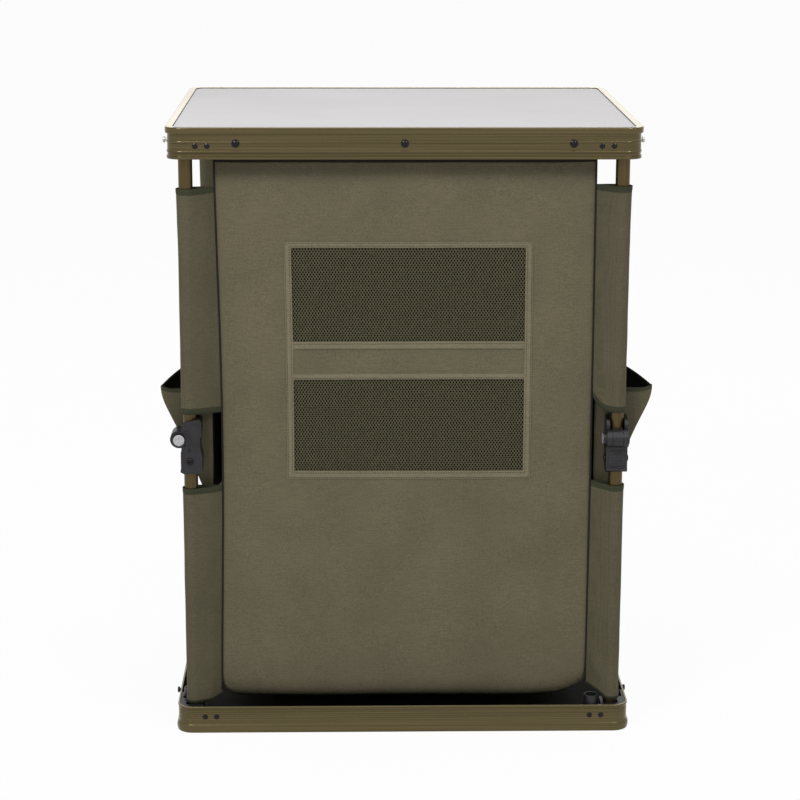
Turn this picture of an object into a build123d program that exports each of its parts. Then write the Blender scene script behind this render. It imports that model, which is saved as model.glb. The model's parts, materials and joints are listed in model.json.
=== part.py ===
from build123d import *

import os

# Folding storage cupboard: two ring frames, four legs that fold at the knee and a fabric body.
# Millimetres, +Z up. The origin is on the ground, at the middle of the base frame.
# The face with the mesh windows looks along -Y, and the zipped door is on the +Y face.

os.makedirs("parts", exist_ok=True)

# Overall size, measured over the proud lips of the frames
width = 600.0
depth = 500.0
height = 800.0

# Ring frames, one extruded rail each, bent into a rounded rectangle
top_frame_height = 40.0
base_frame_height = 36.0
corner_radius = 22.0
rail_inset = 2.6
rail_wall = 1.6
rail_bead = 0.6
bead_height = 1.6
bead_drops = (18.5, 30.8)
rib_proud = 0.25
rib_height = 0.8
base_rib_levels = (15.0, 29.6)
lip_height = 8.3
rim_width = 9.6
foot_band_height = 12.0
band_chamfer = 1.4
flange_height = 4.0
base_rim_height = 2.5
ledge_width = 14.0
ledge_thickness = 1.8

# Panels carried by the frames
table_thickness = 10.0
table_drop = 1.2
table_gap = 0.3
table_edge_round = 0.8
base_panel_thickness = 4.0
base_panel_gap = 0.4
base_ledge_height = 1.8

# Folding legs
leg_inset = 24.5
tube_radius = 9.0
tube_wall = 1.5
base_pivot_height = 27.5
top_pivot_depth = 31.5
tube_end = 5.0
closed_gap = 10.5
pivot_pin_radius = 3.0
running_fit = 0.05
body_fit = 0.1

# Knee joint
knee_half_width = 13.8
knee_bore_gap = 0.5
barrel_radius = 11.5
barrel_slot = 7.2
barrel_gap = 0.4
knee_front = 11.0
knee_back = 15.8
knee_top_reach = 26.0
knee_bottom_reach = 46.0
knee_floor_drop = 12.0
knee_floor_wall = 3.0
tube_stop_gap = 0.3
upper_tube_start = 13.0
knee_pin_radius = 4.0
button_radius = 7.4
button_out = 5.8
button_seat = 2.6
button_travel = 2.4
button_ring_radius = 10.2
clamp_screw_drop = 29.5
clamp_screw_radius = 2.5
clamp_screw_head = 4.5
clamp_screw_dome = 2.2
screw_head_round = 1.6
knee_pin_head = 1.4
button_ring_wall = 1.8
button_ring_proud = 0.8
button_round = 0.9
shield_proud = 0.6
grip_pad_proud = 0.9
spigot_length = 30.0

# Corner brackets that hold the leg pivots
bracket_reach = 36.0
bracket_flange = 3.0
bracket_cheek = 4.0
cheek_gap = 0.5
cheek_reach = 11.5
bracket_back_gap = 12.0
bracket_rise = 8.0
boss_radius = 9.5
boss_height = 46.0
boss_back = 7.0
boss_side = 26.0
boss_wall = 2.4
boss_cup = 6.0
bracket_corner_ease = 0.6
pivot_rim = 1.6
pivot_rim_height = 1.2

# Rivets, screws and studs in the rails
rivet_first = 38.5
rivet_pitch = 15.0
rivet_head_radius = 3.6
rivet_shank_radius = 1.6
rivet_dome = 1.3
base_rivet_height = 22.0
top_rivet_drop = 23.1
rail_screw_spread = 211.0
rail_screw_drop = 20.0
rail_screw_head = 5.2
rail_screw_dome = 2.6
rail_screw_shank = 2.0
rail_screw_end = 1.5
cross_length = 5.4
cross_width = 1.1
cross_depth = 1.4
stud_shank_radius = 2.2
stud_head_radius = 4.0
stud_neck = 4.2
stud_head_height = 3.0
stud_head_round = 1.0
base_stud_back = 100.0
base_stud_height = 24.0

# Hem angles under the table top, which hold the upper edge of the fabric
hem_angle_length = 450.0
hem_angle_wall = 1.6
hem_angle_drop = 15.0

# Fabric body
fabric = 1.5
body_setback_x = 59.0
body_setback_y = 36.0
body_hem_dip = 2.0
window_centre = 4.0
window_tape_width = 318.0
window_drop = 109.0
window_tape_height = 312.0
window_tape_proud = 0.8
mesh_width = 299.0
upper_mesh_drop = 7.5
lower_mesh_rise = 10.5
mesh_height = 122.5
net_thickness = 1.0
net_columns = 13
net_rows = 6
net_cord = 2.2
net_margin = 5.0

# Shelves
shelf_thickness = 6.0
shelf_side_gap = 6.0
shelf_front_gap = 14.0
shelf_corner = 18.0
shelf_edge_round = 1.5
upper_shelf_rise = 99.0
lower_shelf_rise = 230.0

# Sleeves round the legs and the wings that join them to the body corners
sleeve_gap = 0.4
wing_gap = 1.6
upper_sleeve_drop = 39.0
sleeve_above_knee = 32.0
sleeve_below_knee = 71.0
lower_sleeve_rise = 4.0

# Side pockets, two on each side
pocket_above_knee = 64.0
pocket_height = 130.0
pocket_end_gap = 7.0
pocket_far = 12.0
pocket_overhang = 15.0
pocket_belly_inset = 7.0
pocket_belly_back = 97.0
pocket_foot = 20.0
pocket_gap = 0.3

# Zipped door in the rear face, hinged along its upper edge
door_half_width = 190.0
door_rise = 56.0
door_drop = 22.0
door_overlap = 10.0
door_corner = 20.0
door_gap = 0.3
zip_width = 4.0
zip_thickness = 1.2
zip_pull_width = 6.0
zip_pull_length = 24.0
zip_pull_thickness = 1.2

# Values worked out from the ones above
rail_face = rail_inset
rail_inner = rail_inset + rail_wall
table_underside = height - table_drop - table_thickness
top_pivot_height = height - top_pivot_depth
base_panel_top = base_ledge_height + base_panel_thickness
knee_height = (base_pivot_height + top_pivot_height) / 2
folded_height = base_frame_height + closed_gap + top_frame_height
knee_offset = (folded_height - base_pivot_height - top_pivot_depth) / 2
wall_distance = leg_inset - rail_inner
bracket_floor = base_panel_top
bracket_roof = table_underside - ledge_thickness
hem_roof = bracket_roof
fabric_top = hem_roof - hem_angle_wall
top_frame_bottom = height - top_frame_height
body_half_width = width / 2 - body_setback_x
body_half_depth = depth / 2 - body_setback_y
body_bottom = base_frame_height - body_hem_dip
window_tape_top = top_frame_bottom - window_drop
window_tape_bottom = window_tape_top - window_tape_height
upper_mesh_top = window_tape_top - upper_mesh_drop
lower_mesh_bottom = window_tape_bottom + lower_mesh_rise
shelf_half_width = body_half_width - shelf_side_gap
shelf_half_depth = body_half_depth - shelf_front_gap
upper_shelf_height = knee_height + upper_shelf_rise
lower_shelf_height = base_frame_height + lower_shelf_rise
upper_sleeve_top = top_frame_bottom - upper_sleeve_drop
upper_sleeve_bottom = knee_height + sleeve_above_knee
lower_sleeve_top = knee_height - sleeve_below_knee
lower_sleeve_bottom = base_frame_height + lower_sleeve_rise
pocket_mouth_height = knee_height + pocket_above_knee
pocket_bottom = pocket_mouth_height - pocket_height
pocket_near = body_half_depth - pocket_end_gap
pocket_reach = width / 2 + pocket_overhang
pocket_belly = width / 2 - pocket_belly_inset
door_bottom = base_frame_height + door_rise
door_top = top_frame_bottom - door_drop

# Each corner: its side along X, its side along Y, and how far its leg is turned about Z
corners = {
    "front_left": (-1, -1, 0),
    "front_right": (1, -1, 90),
    "rear_right": (1, 1, 180),
    "rear_left": (-1, 1, 270),
}


def corner_plane(side_x, side_y, turn):
    """Plane at a leg's axis: x points the way the knee folds, y runs along its pin, z is up."""
    centre = (side_x * (width / 2 - leg_inset), side_y * (depth / 2 - leg_inset), 0)
    fold_direction = Vector(1, 0, 0).rotate(Axis.Z, turn)
    return Plane(origin=centre, x_dir=fold_direction, z_dir=(0, 0, 1))


def side_plane(leg):
    """Upright plane through a leg's axis, square to its pins, with y up."""
    return Plane(origin=leg.origin, x_dir=leg.x_dir, z_dir=-leg.y_dir)


def stands_proud(edge):
    """Tell whether an edge of a frame lies on its outermost faces."""
    reach = max(abs(edge.center().X) - width / 2, abs(edge.center().Y) - depth / 2)
    return reach > -0.01


def ring_face(level, outer_inset, inner_inset):
    """Flat ring between two rounded rectangles set in from the overall outline."""
    with BuildSketch(Plane.XY.offset(level)) as face:
        RectangleRounded(width - 2 * outer_inset, depth - 2 * outer_inset, corner_radius - outer_inset)
        inner_radius = max(corner_radius - inner_inset, 2.0)
        RectangleRounded(width - 2 * inner_inset, depth - 2 * inner_inset, inner_radius, mode=Mode.SUBTRACT)
    return face.sketch


def front_rail(side_y, x, level, inset):
    """Plane on the front or rear rail, square to it, with its z pointing outward."""
    return Plane(origin=(x, side_y * (depth / 2 - inset), level), x_dir=(1, 0, 0), z_dir=(0, side_y, 0))


def side_rail(side_x, y, level, inset):
    """Plane on the left or right rail, square to it, with its z pointing outward."""
    return Plane(origin=(side_x * (width / 2 - inset), y, level), x_dir=(0, 1, 0), z_dir=(side_x, 0, 0))


def rivet_planes(level, inset):
    """Planes of the sixteen bracket rivets of a frame, two on each rail beside each corner."""
    planes = []
    for side_x, side_y, _ in corners.values():
        for step in (rivet_first, rivet_first + rivet_pitch):
            planes.append(front_rail(side_y, side_x * (width / 2 - step), level, inset))
            planes.append(side_rail(side_x, side_y * (depth / 2 - step), level, inset))
    return planes


def rail_screw_planes(inset):
    """Planes of the three screws in the front rail and the three in the rear rail of the top frame."""
    places = (-rail_screw_spread, 0, rail_screw_spread)
    return [front_rail(way, x, height - rail_screw_drop, inset) for way in (-1, 1) for x in places]


def top_stud_planes(inset):
    """Planes of the strap studs on the side rails of the top frame, two a side, between the rivets."""
    level = height - rail_screw_drop
    spread = depth / 2 - rivet_first - rivet_pitch / 2
    return [side_rail(way, y, level, inset) for way in (-1, 1) for y in (-spread, spread)]


def base_stud_planes(inset):
    """Planes of the strap studs on the side rails of the base frame, two a side."""
    spread = depth / 2 - base_stud_back
    return [side_rail(way, y, base_stud_height, inset) for way in (-1, 1) for y in (-spread, spread)]


def dome_profile(head_radius, dome, shank_radius, shank_length):
    """Half section of a domed rivet or screw, revolved about the local z axis; z is outward."""
    rise = 0.8 * dome
    dome_radius = (head_radius ** 2 + rise ** 2) / (2 * rise)
    with BuildSketch(Plane.XZ) as profile:
        with BuildLine():
            Line((0, dome), (0, -shank_length))
            Line((0, -shank_length), (shank_radius, -shank_length))
            Line((shank_radius, -shank_length), (shank_radius, 0))
            Line((shank_radius, 0), (head_radius, 0))
            Line((head_radius, 0), (head_radius, dome - rise))
            RadiusArc((head_radius, dome - rise), (0, dome), -dome_radius)
        make_face()
    return profile.sketch


# Base frame: foot band, wall, top rim and the ledge that carries the base panel
with BuildPart() as base_frame:
    extrude(ring_face(0, rail_face, rail_inner), amount=base_frame_height)
    extrude(ring_face(0, 0, rail_inner), amount=foot_band_height)
    rim = ring_face(base_frame_height - base_rim_height, rail_face - rail_bead, rail_inner)
    extrude(rim, amount=base_rim_height)
    ledge = ring_face(base_ledge_height - ledge_thickness, rail_face, rail_inner + ledge_width)
    extrude(ledge, amount=ledge_thickness)
    band_edges = base_frame.edges().filter_by(GeomType.LINE).filter_by(Axis.Z, reverse=True)
    chamfer(band_edges.filter_by(stands_proud).group_by(Axis.Z)[-1], length=band_chamfer)
    for level in base_rib_levels:
        extrude(ring_face(level, rail_face - rib_proud, rail_face + rib_proud), amount=rib_height)
    for plane in rivet_planes(base_rivet_height, 0):
        with BuildSketch(plane):
            Circle(rivet_shank_radius + body_fit)
        extrude(amount=-rail_inner, mode=Mode.SUBTRACT)
    for plane in base_stud_planes(0):
        with BuildSketch(plane):
            Circle(stud_shank_radius + body_fit)
        extrude(amount=-rail_inner, mode=Mode.SUBTRACT)
base_frame.part.label = "base_frame"
export_step(base_frame.part, "parts/base_frame.step")

# Top frame: lip with the wide rim round the table, wall with two beads, bottom flange and ledge
with BuildPart() as top_frame:
    extrude(ring_face(top_frame_bottom, rail_face, rail_inner), amount=top_frame_height - lip_height)
    extrude(ring_face(height - lip_height, 0, rim_width), amount=lip_height)
    extrude(ring_face(top_frame_bottom, rail_face - rail_bead, rail_inner), amount=flange_height)
    for drop in bead_drops:
        level = height - drop - bead_height / 2
        extrude(ring_face(level, rail_face - rail_bead, rail_inner), amount=bead_height)
    ledge = ring_face(table_underside - ledge_thickness, rail_face, rail_inner + ledge_width)
    extrude(ledge, amount=ledge_thickness)
    for plane in rivet_planes(height - top_rivet_drop, 0):
        with BuildSketch(plane):
            Circle(rivet_shank_radius + body_fit)
        extrude(amount=-rail_inner, mode=Mode.SUBTRACT)
    for plane in rail_screw_planes(0):
        with BuildSketch(plane):
            Circle(rail_screw_shank + body_fit)
        extrude(amount=-rail_inner, mode=Mode.SUBTRACT)
    for plane in top_stud_planes(0):
        with BuildSketch(plane):
            Circle(stud_shank_radius + body_fit)
        extrude(amount=-rail_inner, mode=Mode.SUBTRACT)
top_frame.part.label = "top_frame"
export_step(top_frame.part, "parts/top_frame.step")

# Table top, set into the rim
with BuildPart() as table_top:
    with BuildSketch(Plane.XY.offset(table_underside)):
        inset = rim_width + table_gap
        RectangleRounded(width - 2 * inset, depth - 2 * inset, corner_radius - inset)
    extrude(amount=table_thickness)
    fillet(table_top.faces().sort_by(Axis.Z)[-1].edges(), radius=table_edge_round)
table_top.part.label = "table_top"
export_step(table_top.part, "parts/table_top.step")

# Base panel, lying on the ledge of the base frame
with BuildPart() as base_panel:
    with BuildSketch(Plane.XY.offset(base_ledge_height)):
        inset = rail_inner + base_panel_gap
        RectangleRounded(width - 2 * inset, depth - 2 * inset, corner_radius - inset)
    extrude(amount=base_panel_thickness)
base_panel.part.label = "base_panel"
export_step(base_panel.part, "parts/base_panel.step")


def build_bracket(leg, floor, roof, pivot_height, rivet_height, has_boss):
    """Nylon corner bracket: flanges on both rails, two cheeks for the pivot pin and a locating boss."""
    side = side_plane(leg)
    rise = roof - floor
    cheek_inner = tube_radius + cheek_gap
    cheek_outer = cheek_inner + bracket_cheek
    with BuildPart() as bracket:
        with BuildSketch(leg.offset(floor)):
            with Locations((-wall_distance, -wall_distance)):
                Rectangle(wall_distance + bracket_reach, bracket_flange, align=(Align.MIN, Align.MIN))
                Rectangle(bracket_flange, wall_distance + bracket_reach, align=(Align.MIN, Align.MIN))
                Rectangle(wall_distance - bracket_back_gap, wall_distance + cheek_outer, align=(Align.MIN, Align.MIN))
                Rectangle(wall_distance + cheek_reach, wall_distance - cheek_inner, align=(Align.MIN, Align.MIN))
            with Locations((-wall_distance, cheek_inner)):
                Rectangle(wall_distance + cheek_reach, bracket_cheek, align=(Align.MIN, Align.MIN))
        extrude(amount=rise)
        corner_place = leg.from_local_coords(Vector(-wall_distance, -wall_distance, floor + rise / 2))
        outer_corner = bracket.edges().filter_by(Axis.Z).sort_by_distance(corner_place)[0]
        fillet(outer_corner, radius=corner_radius - rail_inner + bracket_corner_ease)
        if has_boss:
            with BuildSketch(leg.offset(floor)):
                with Locations((-wall_distance + bracket_flange / 2, boss_side)):
                    Rectangle(wall_distance - boss_back, boss_radius, align=(Align.MIN, Align.CENTER))
            extrude(amount=rise)
            with BuildSketch(leg.offset(floor)):
                with Locations((-boss_back, boss_side)):
                    Circle(boss_radius)
            extrude(amount=boss_height - floor)
            with BuildSketch(leg.offset(boss_height)):
                with Locations((-boss_back, boss_side)):
                    Circle(boss_radius - boss_wall)
            extrude(amount=-boss_cup, mode=Mode.SUBTRACT)
        with BuildSketch(side):
            with Locations((0, pivot_height)):
                Circle(pivot_pin_radius + body_fit)
        extrude(amount=wall_distance + 1, both=True, mode=Mode.SUBTRACT)
        for step in (rivet_first, rivet_first + rivet_pitch):
            place = step - leg_inset
            with BuildSketch(side.offset(wall_distance)):
                with Locations((place, rivet_height)):
                    Circle(rivet_shank_radius + body_fit)
            extrude(amount=-bracket_flange, mode=Mode.SUBTRACT)
            flange_place = leg.from_local_coords(Vector(-wall_distance, place, rivet_height))
            with BuildSketch(Plane(origin=flange_place, z_dir=leg.x_dir)):
                Circle(rivet_shank_radius + body_fit)
            extrude(amount=bracket_flange, mode=Mode.SUBTRACT)
    return bracket.part


def build_pivot_pin(leg, pivot_height):
    """Headless pin that runs from one bracket cheek to the other, through the tube."""
    half_length = tube_radius + cheek_gap + bracket_cheek
    with BuildPart() as pin:
        with BuildSketch(side_plane(leg).offset(half_length)):
            with Locations((0, pivot_height)):
                Circle(pivot_pin_radius)
        extrude(amount=-2 * half_length)
        with BuildSketch(side_plane(leg).offset(-half_length)):
            with Locations((0, pivot_height)):
                Circle(pivot_pin_radius + pivot_rim)
        extrude(amount=-pivot_rim_height)
    return pin.part


def build_tube(leg, bottom, top, cross_holes):
    """Round leg tube with its cross holes, each given by its height and radius."""
    with BuildPart() as tube:
        with BuildSketch(leg.offset(bottom)):
            Circle(tube_radius)
            Circle(tube_radius - tube_wall, mode=Mode.SUBTRACT)
        extrude(amount=top - bottom)
        with BuildSketch(side_plane(leg)):
            for level, radius in cross_holes:
                with Locations((0, level)):
                    Circle(radius)
        extrude(amount=tube_radius + 1, both=True, mode=Mode.SUBTRACT)
    return tube.part


def build_lower_knuckle(leg, button_side):
    """Clevis on the lower tube: clamp body, two cheeks round the upper tube and the outer barrel."""
    side = side_plane(leg)
    bottom = knee_height - knee_bottom_reach
    floor = knee_height - knee_floor_drop
    top = knee_height + knee_top_reach
    cheek_inner = tube_radius + knee_bore_gap
    back_wall = tube_radius + tube_stop_gap
    with BuildPart() as knuckle:
        with BuildSketch(side):
            with BuildLine():
                Polyline(
                    (-knee_front + 2.2, bottom),
                    (knee_back - 3.5, bottom),
                    (knee_back - 0.4, bottom + 4.5),
                    (knee_back, floor - 12.0),
                    (knee_back - 2.6, floor + 2.0),
                    (knee_back - 2.6, floor + 13.0),
                    (knee_back - 0.6, floor + 17.0),
                    (knee_back - 0.6, top - 3.0),
                    (knee_back - 4.0, top),
                    (-knee_front + 4.0, top - 3.5),
                    (-knee_front, top - 8.5),
                    (-knee_front, bottom + 6.5),
                    (-knee_front - 1.6, bottom + 5.0),
                    (-knee_front - 1.6, bottom + 2.4),
                    (-knee_front + 2.2, bottom),
                )
            make_face()
        extrude(amount=knee_half_width, both=True)
        with BuildSketch(side):
            with Locations((-knee_offset, knee_height)):
                Circle(barrel_radius)
        extrude(amount=knee_half_width, both=True)
        # Room for the upper tube, open towards the side it folds to
        with BuildSketch(leg.offset(floor)):
            with Locations((back_wall, 0)):
                clear_length = 2 * knee_half_width + knee_offset + barrel_radius
                Rectangle(clear_length, 2 * cheek_inner, align=(Align.MAX, Align.CENTER))
        extrude(amount=knee_floor_drop + knee_top_reach + 1, mode=Mode.SUBTRACT)
        # Outer barrel segments, each side of the slot for the middle one
        for way in (1, -1):
            with BuildSketch(side.offset(way * barrel_slot)):
                with Locations((-knee_offset, knee_height)):
                    Circle(barrel_radius)
            extrude(amount=way * (knee_half_width - barrel_slot))
        with BuildSketch(side):
            with Locations((-knee_offset, knee_height)):
                Rectangle(2 * barrel_radius + 2 * barrel_gap, 2 * barrel_radius + 2 * barrel_gap)
        extrude(amount=barrel_slot, both=True, mode=Mode.SUBTRACT)
        # Tube bore, pin bore and the clamp screw's hole
        with BuildSketch(leg.offset(bottom)):
            Circle(tube_radius + body_fit)
        extrude(amount=knee_bottom_reach - knee_floor_drop - knee_floor_wall, mode=Mode.SUBTRACT)
        with BuildSketch(side):
            with Locations((-knee_offset, knee_height)):
                Circle(knee_pin_radius + body_fit)
            with Locations((0, knee_height - clamp_screw_drop)):
                Circle(clamp_screw_radius + body_fit)
        extrude(amount=knee_half_width + 1, both=True, mode=Mode.SUBTRACT)
        # Seat of the push button, inside a raised ring
        ring_plane = side.offset(button_side * knee_half_width)
        with BuildSketch(ring_plane):
            with Locations((-knee_offset, knee_height)):
                Circle(button_ring_radius)
                Circle(button_ring_radius - button_ring_wall, mode=Mode.SUBTRACT)
        extrude(amount=button_side * button_ring_proud)
        with BuildSketch(ring_plane):
            with Locations((-knee_offset, knee_height)):
                Circle(button_radius + 2 * running_fit)
        extrude(amount=-button_side * (button_seat + button_travel), mode=Mode.SUBTRACT)
        # Raised shield on each cheek, and the grip pad under the barrel
        for way in (1, -1):
            with BuildSketch(side.offset(way * knee_half_width)):
                with BuildLine():
                    Polyline(
                        (-0.5, floor + 2.0),
                        (7.0, floor - 5.0),
                        (knee_back - 4.6, floor - 1.5),
                        (knee_back - 4.6, top - 7.0),
                        (2.0, top - 7.0),
                        (-0.5, top - 12.0),
                        (-0.5, floor + 2.0),
                    )
                make_face()
            extrude(amount=way * shield_proud)
        pad_place = leg.from_local_coords(Vector(-knee_front, 0, (bottom + floor) / 2 + 1.5))
        with BuildSketch(Plane(origin=pad_place, x_dir=leg.y_dir, z_dir=-leg.x_dir)):
            RectangleRounded(2 * knee_half_width - 7, floor - bottom - 14, 4)
        extrude(amount=grip_pad_proud)
    return knuckle.part


def build_upper_knuckle(leg):
    """Middle of the knee: barrel segment, arm under the upper tube and spigot inside it."""
    side = side_plane(leg)
    tube_start = knee_height + upper_tube_start
    lug_half = barrel_slot - barrel_gap
    with BuildPart() as knuckle:
        with BuildSketch(side):
            with Locations((-knee_offset, knee_height)):
                Circle(barrel_radius)
            with BuildLine():
                Polyline(
                    (-knee_offset, knee_height),
                    (tube_radius - 1.5, knee_height + 0.5),
                    (tube_radius, knee_height + 2.5),
                    (tube_radius, tube_start),
                    (-tube_radius, tube_start),
                    (-knee_offset, knee_height + barrel_radius),
                    (-knee_offset, knee_height),
                )
            make_face()
        extrude(amount=lug_half, both=True)
        with BuildSketch(leg.offset(tube_start)):
            Circle(tube_radius - tube_wall - body_fit)
        extrude(amount=spigot_length)
        with BuildSketch(side):
            with Locations((-knee_offset, knee_height)):
                Circle(knee_pin_radius + running_fit)
        extrude(amount=knee_half_width, both=True, mode=Mode.SUBTRACT)
    return knuckle.part


def build_knee_hardware(leg, button_side):
    """Knee pin with its head on the far side from the button, and the clamp screw with two domes."""
    side = side_plane(leg)
    button_floor = knee_half_width - button_seat - button_travel
    with BuildPart() as hardware:
        with BuildSketch(side.offset(-button_side * knee_half_width)):
            with Locations((-knee_offset, knee_height)):
                Circle(knee_pin_radius)
        extrude(amount=button_side * (knee_half_width + button_floor))
        with BuildSketch(side.offset(-button_side * knee_half_width)):
            with Locations((-knee_offset, knee_height)):
                Circle(button_radius)
        extrude(amount=-button_side * knee_pin_head)
        with BuildSketch(side):
            with Locations((0, knee_height - clamp_screw_drop)):
                Circle(clamp_screw_radius)
        extrude(amount=knee_half_width, both=True)
        for way in (1, -1):
            head_place = leg.from_local_coords(Vector(0, -way * knee_half_width, knee_height - clamp_screw_drop))
            head_plane = Plane(origin=head_place, x_dir=leg.x_dir, z_dir=-way * leg.y_dir)
            with BuildSketch(head_plane):
                Circle(clamp_screw_head)
            extrude(amount=clamp_screw_dome)
            fillet(hardware.faces().sort_by(Axis((0, 0, 0), head_plane.z_dir))[-1].edges(), radius=screw_head_round)
            with BuildSketch(head_plane.offset(clamp_screw_dome)):
                Rectangle(cross_length, cross_width)
                Rectangle(cross_width, cross_length)
            extrude(amount=-cross_depth, mode=Mode.SUBTRACT)
    return hardware.part


def build_button(leg, button_side):
    """Push button at the end of the knee pin: a plain cylinder with a rounded face."""
    seat = knee_half_width - button_seat
    with BuildPart() as button:
        with BuildSketch(side_plane(leg).offset(button_side * seat)):
            with Locations((-knee_offset, knee_height)):
                Circle(button_radius)
        extrude(amount=button_side * (button_seat + button_out))
        outward = Axis((0, 0, 0), -button_side * leg.y_dir)
        fillet(button.faces().filter_by(outward).sort_by(outward)[-1].edges(), radius=button_round)
    return button.part


for name, (side_x, side_y, turn) in corners.items():
    leg = corner_plane(side_x, side_y, turn)
    button_side = 1 if turn in (0, 180) else -1

    base_bracket = build_bracket(
        leg, bracket_floor, base_pivot_height + bracket_rise, base_pivot_height, base_rivet_height, True
    )
    base_bracket.label = f"base_bracket_{name}"
    export_step(base_bracket, f"parts/base_bracket_{name}.step")

    top_bracket = build_bracket(
        leg, top_pivot_height - bracket_rise, bracket_roof, top_pivot_height, height - top_rivet_drop, False
    )
    top_bracket.label = f"top_bracket_{name}"
    export_step(top_bracket, f"parts/top_bracket_{name}.step")

    base_hole = (base_pivot_height, pivot_pin_radius + running_fit)
    clamp_hole = (knee_height - clamp_screw_drop, clamp_screw_radius + body_fit)
    top_hole = (top_pivot_height, pivot_pin_radius + running_fit)
    lower_end = knee_height - knee_floor_drop - knee_floor_wall
    lower_tube = build_tube(leg, base_pivot_height - tube_end, lower_end, [base_hole, clamp_hole])
    lower_tube.label = f"lower_tube_{name}"
    export_step(lower_tube, f"parts/lower_tube_{name}.step")

    upper_tube = build_tube(leg, knee_height + upper_tube_start, top_pivot_height + tube_end, [top_hole])
    upper_tube.label = f"upper_tube_{name}"
    export_step(upper_tube, f"parts/upper_tube_{name}.step")

    lower_knuckle = build_lower_knuckle(leg, button_side)
    lower_knuckle.label = f"lower_knuckle_{name}"
    export_step(lower_knuckle, f"parts/lower_knuckle_{name}.step")

    upper_knuckle = build_upper_knuckle(leg)
    upper_knuckle.label = f"upper_knuckle_{name}"
    export_step(upper_knuckle, f"parts/upper_knuckle_{name}.step")

    knee_hardware = build_knee_hardware(leg, button_side)
    knee_hardware.label = f"knee_hardware_{name}"
    export_step(knee_hardware, f"parts/knee_hardware_{name}.step")

    button = build_button(leg, button_side)
    button.label = f"release_button_{name}"
    export_step(button, f"parts/release_button_{name}.step")

    # Sleeves round both tubes, with the wing that runs back to the corner of the body
    axis_x = side_x * (width / 2 - leg_inset)
    axis_y = side_y * (depth / 2 - leg_inset)
    corner_x = side_x * body_half_width
    corner_y = side_y * body_half_depth
    wing = Vector(corner_x - axis_x, corner_y - axis_y, 0)
    wing_length = wing.length - wing_gap
    wing_turn = Vector(1, 0, 0).get_signed_angle(wing, Vector(0, 0, 1))
    with BuildPart() as sleeves:
        for bottom, top in (
            (lower_sleeve_bottom, lower_sleeve_top),
            (upper_sleeve_bottom, upper_sleeve_top),
        ):
            with BuildSketch(Plane.XY.offset(bottom)):
                with Locations(Location((axis_x, axis_y, 0), (0, 0, wing_turn))):
                    Rectangle(wing_length, fabric, align=(Align.MIN, Align.CENTER))
                with Locations((axis_x, axis_y)):
                    Circle(tube_radius + sleeve_gap + fabric)
                    Circle(tube_radius + sleeve_gap, mode=Mode.SUBTRACT)
            extrude(amount=top - bottom)
    sleeves.part.label = f"leg_sleeves_{name}"
    export_step(sleeves.part, f"parts/leg_sleeves_{name}.step")


def build_bracket_fasteners(pivot_height, rivet_height):
    """Four pivot pins and the sixteen rivets of one frame."""
    with BuildPart() as fasteners:
        for side_x, side_y, turn in corners.values():
            add(build_pivot_pin(corner_plane(side_x, side_y, turn), pivot_height))
        rivet = revolve(
            dome_profile(rivet_head_radius, rivet_dome, rivet_shank_radius, rail_wall + bracket_flange),
            axis=Axis.Z,
            mode=Mode.PRIVATE,
        )
        for plane in rivet_planes(rivet_height, rail_face):
            add(plane.location * rivet)
    return fasteners.part


base_fasteners = build_bracket_fasteners(base_pivot_height, base_rivet_height)
base_fasteners.label = "base_bracket_fasteners"
export_step(base_fasteners, "parts/base_bracket_fasteners.step")

top_fasteners = build_bracket_fasteners(top_pivot_height, height - top_rivet_drop)
top_fasteners.label = "top_bracket_fasteners"
export_step(top_fasteners, "parts/top_bracket_fasteners.step")


# Domed cross-head screws in the front and rear rails, which hold the hem angles
screw_reach = rail_bead + rail_wall + hem_angle_wall + rail_screw_end
with BuildPart() as rail_screw:
    revolve(dome_profile(rail_screw_head, rail_screw_dome, rail_screw_shank, screw_reach), axis=Axis.Z)
    with BuildSketch(Plane.XY.offset(rail_screw_dome)):
        Rectangle(cross_length, cross_width)
        Rectangle(cross_width, cross_length)
    extrude(amount=-cross_depth, mode=Mode.SUBTRACT)
with BuildPart() as rail_screws:
    for plane in rail_screw_planes(rail_face - rail_bead):
        add(plane.location * rail_screw.part)
rail_screws.part.label = "rail_screws"
export_step(rail_screws.part, "parts/rail_screws.step")

# Strap studs on the side rails: a neck and a round head
with BuildPart() as stud:
    with BuildSketch(Plane.XY.offset(-rail_wall)):
        Circle(stud_shank_radius)
    extrude(amount=rail_wall + stud_neck)
    with BuildSketch(Plane.XY.offset(stud_neck)):
        Circle(stud_head_radius)
    extrude(amount=stud_head_height)
    fillet(stud.edges().sort_by(Axis.Z)[-1], radius=stud_head_round)
with BuildPart() as base_studs:
    for plane in base_stud_planes(rail_face):
        add(plane.location * stud.part)
base_studs.part.label = "base_strap_studs"
export_step(base_studs.part, "parts/base_strap_studs.step")
with BuildPart() as top_studs:
    for plane in top_stud_planes(rail_face):
        add(plane.location * stud.part)
top_studs.part.label = "top_strap_studs"
export_step(top_studs.part, "parts/top_strap_studs.step")

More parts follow.
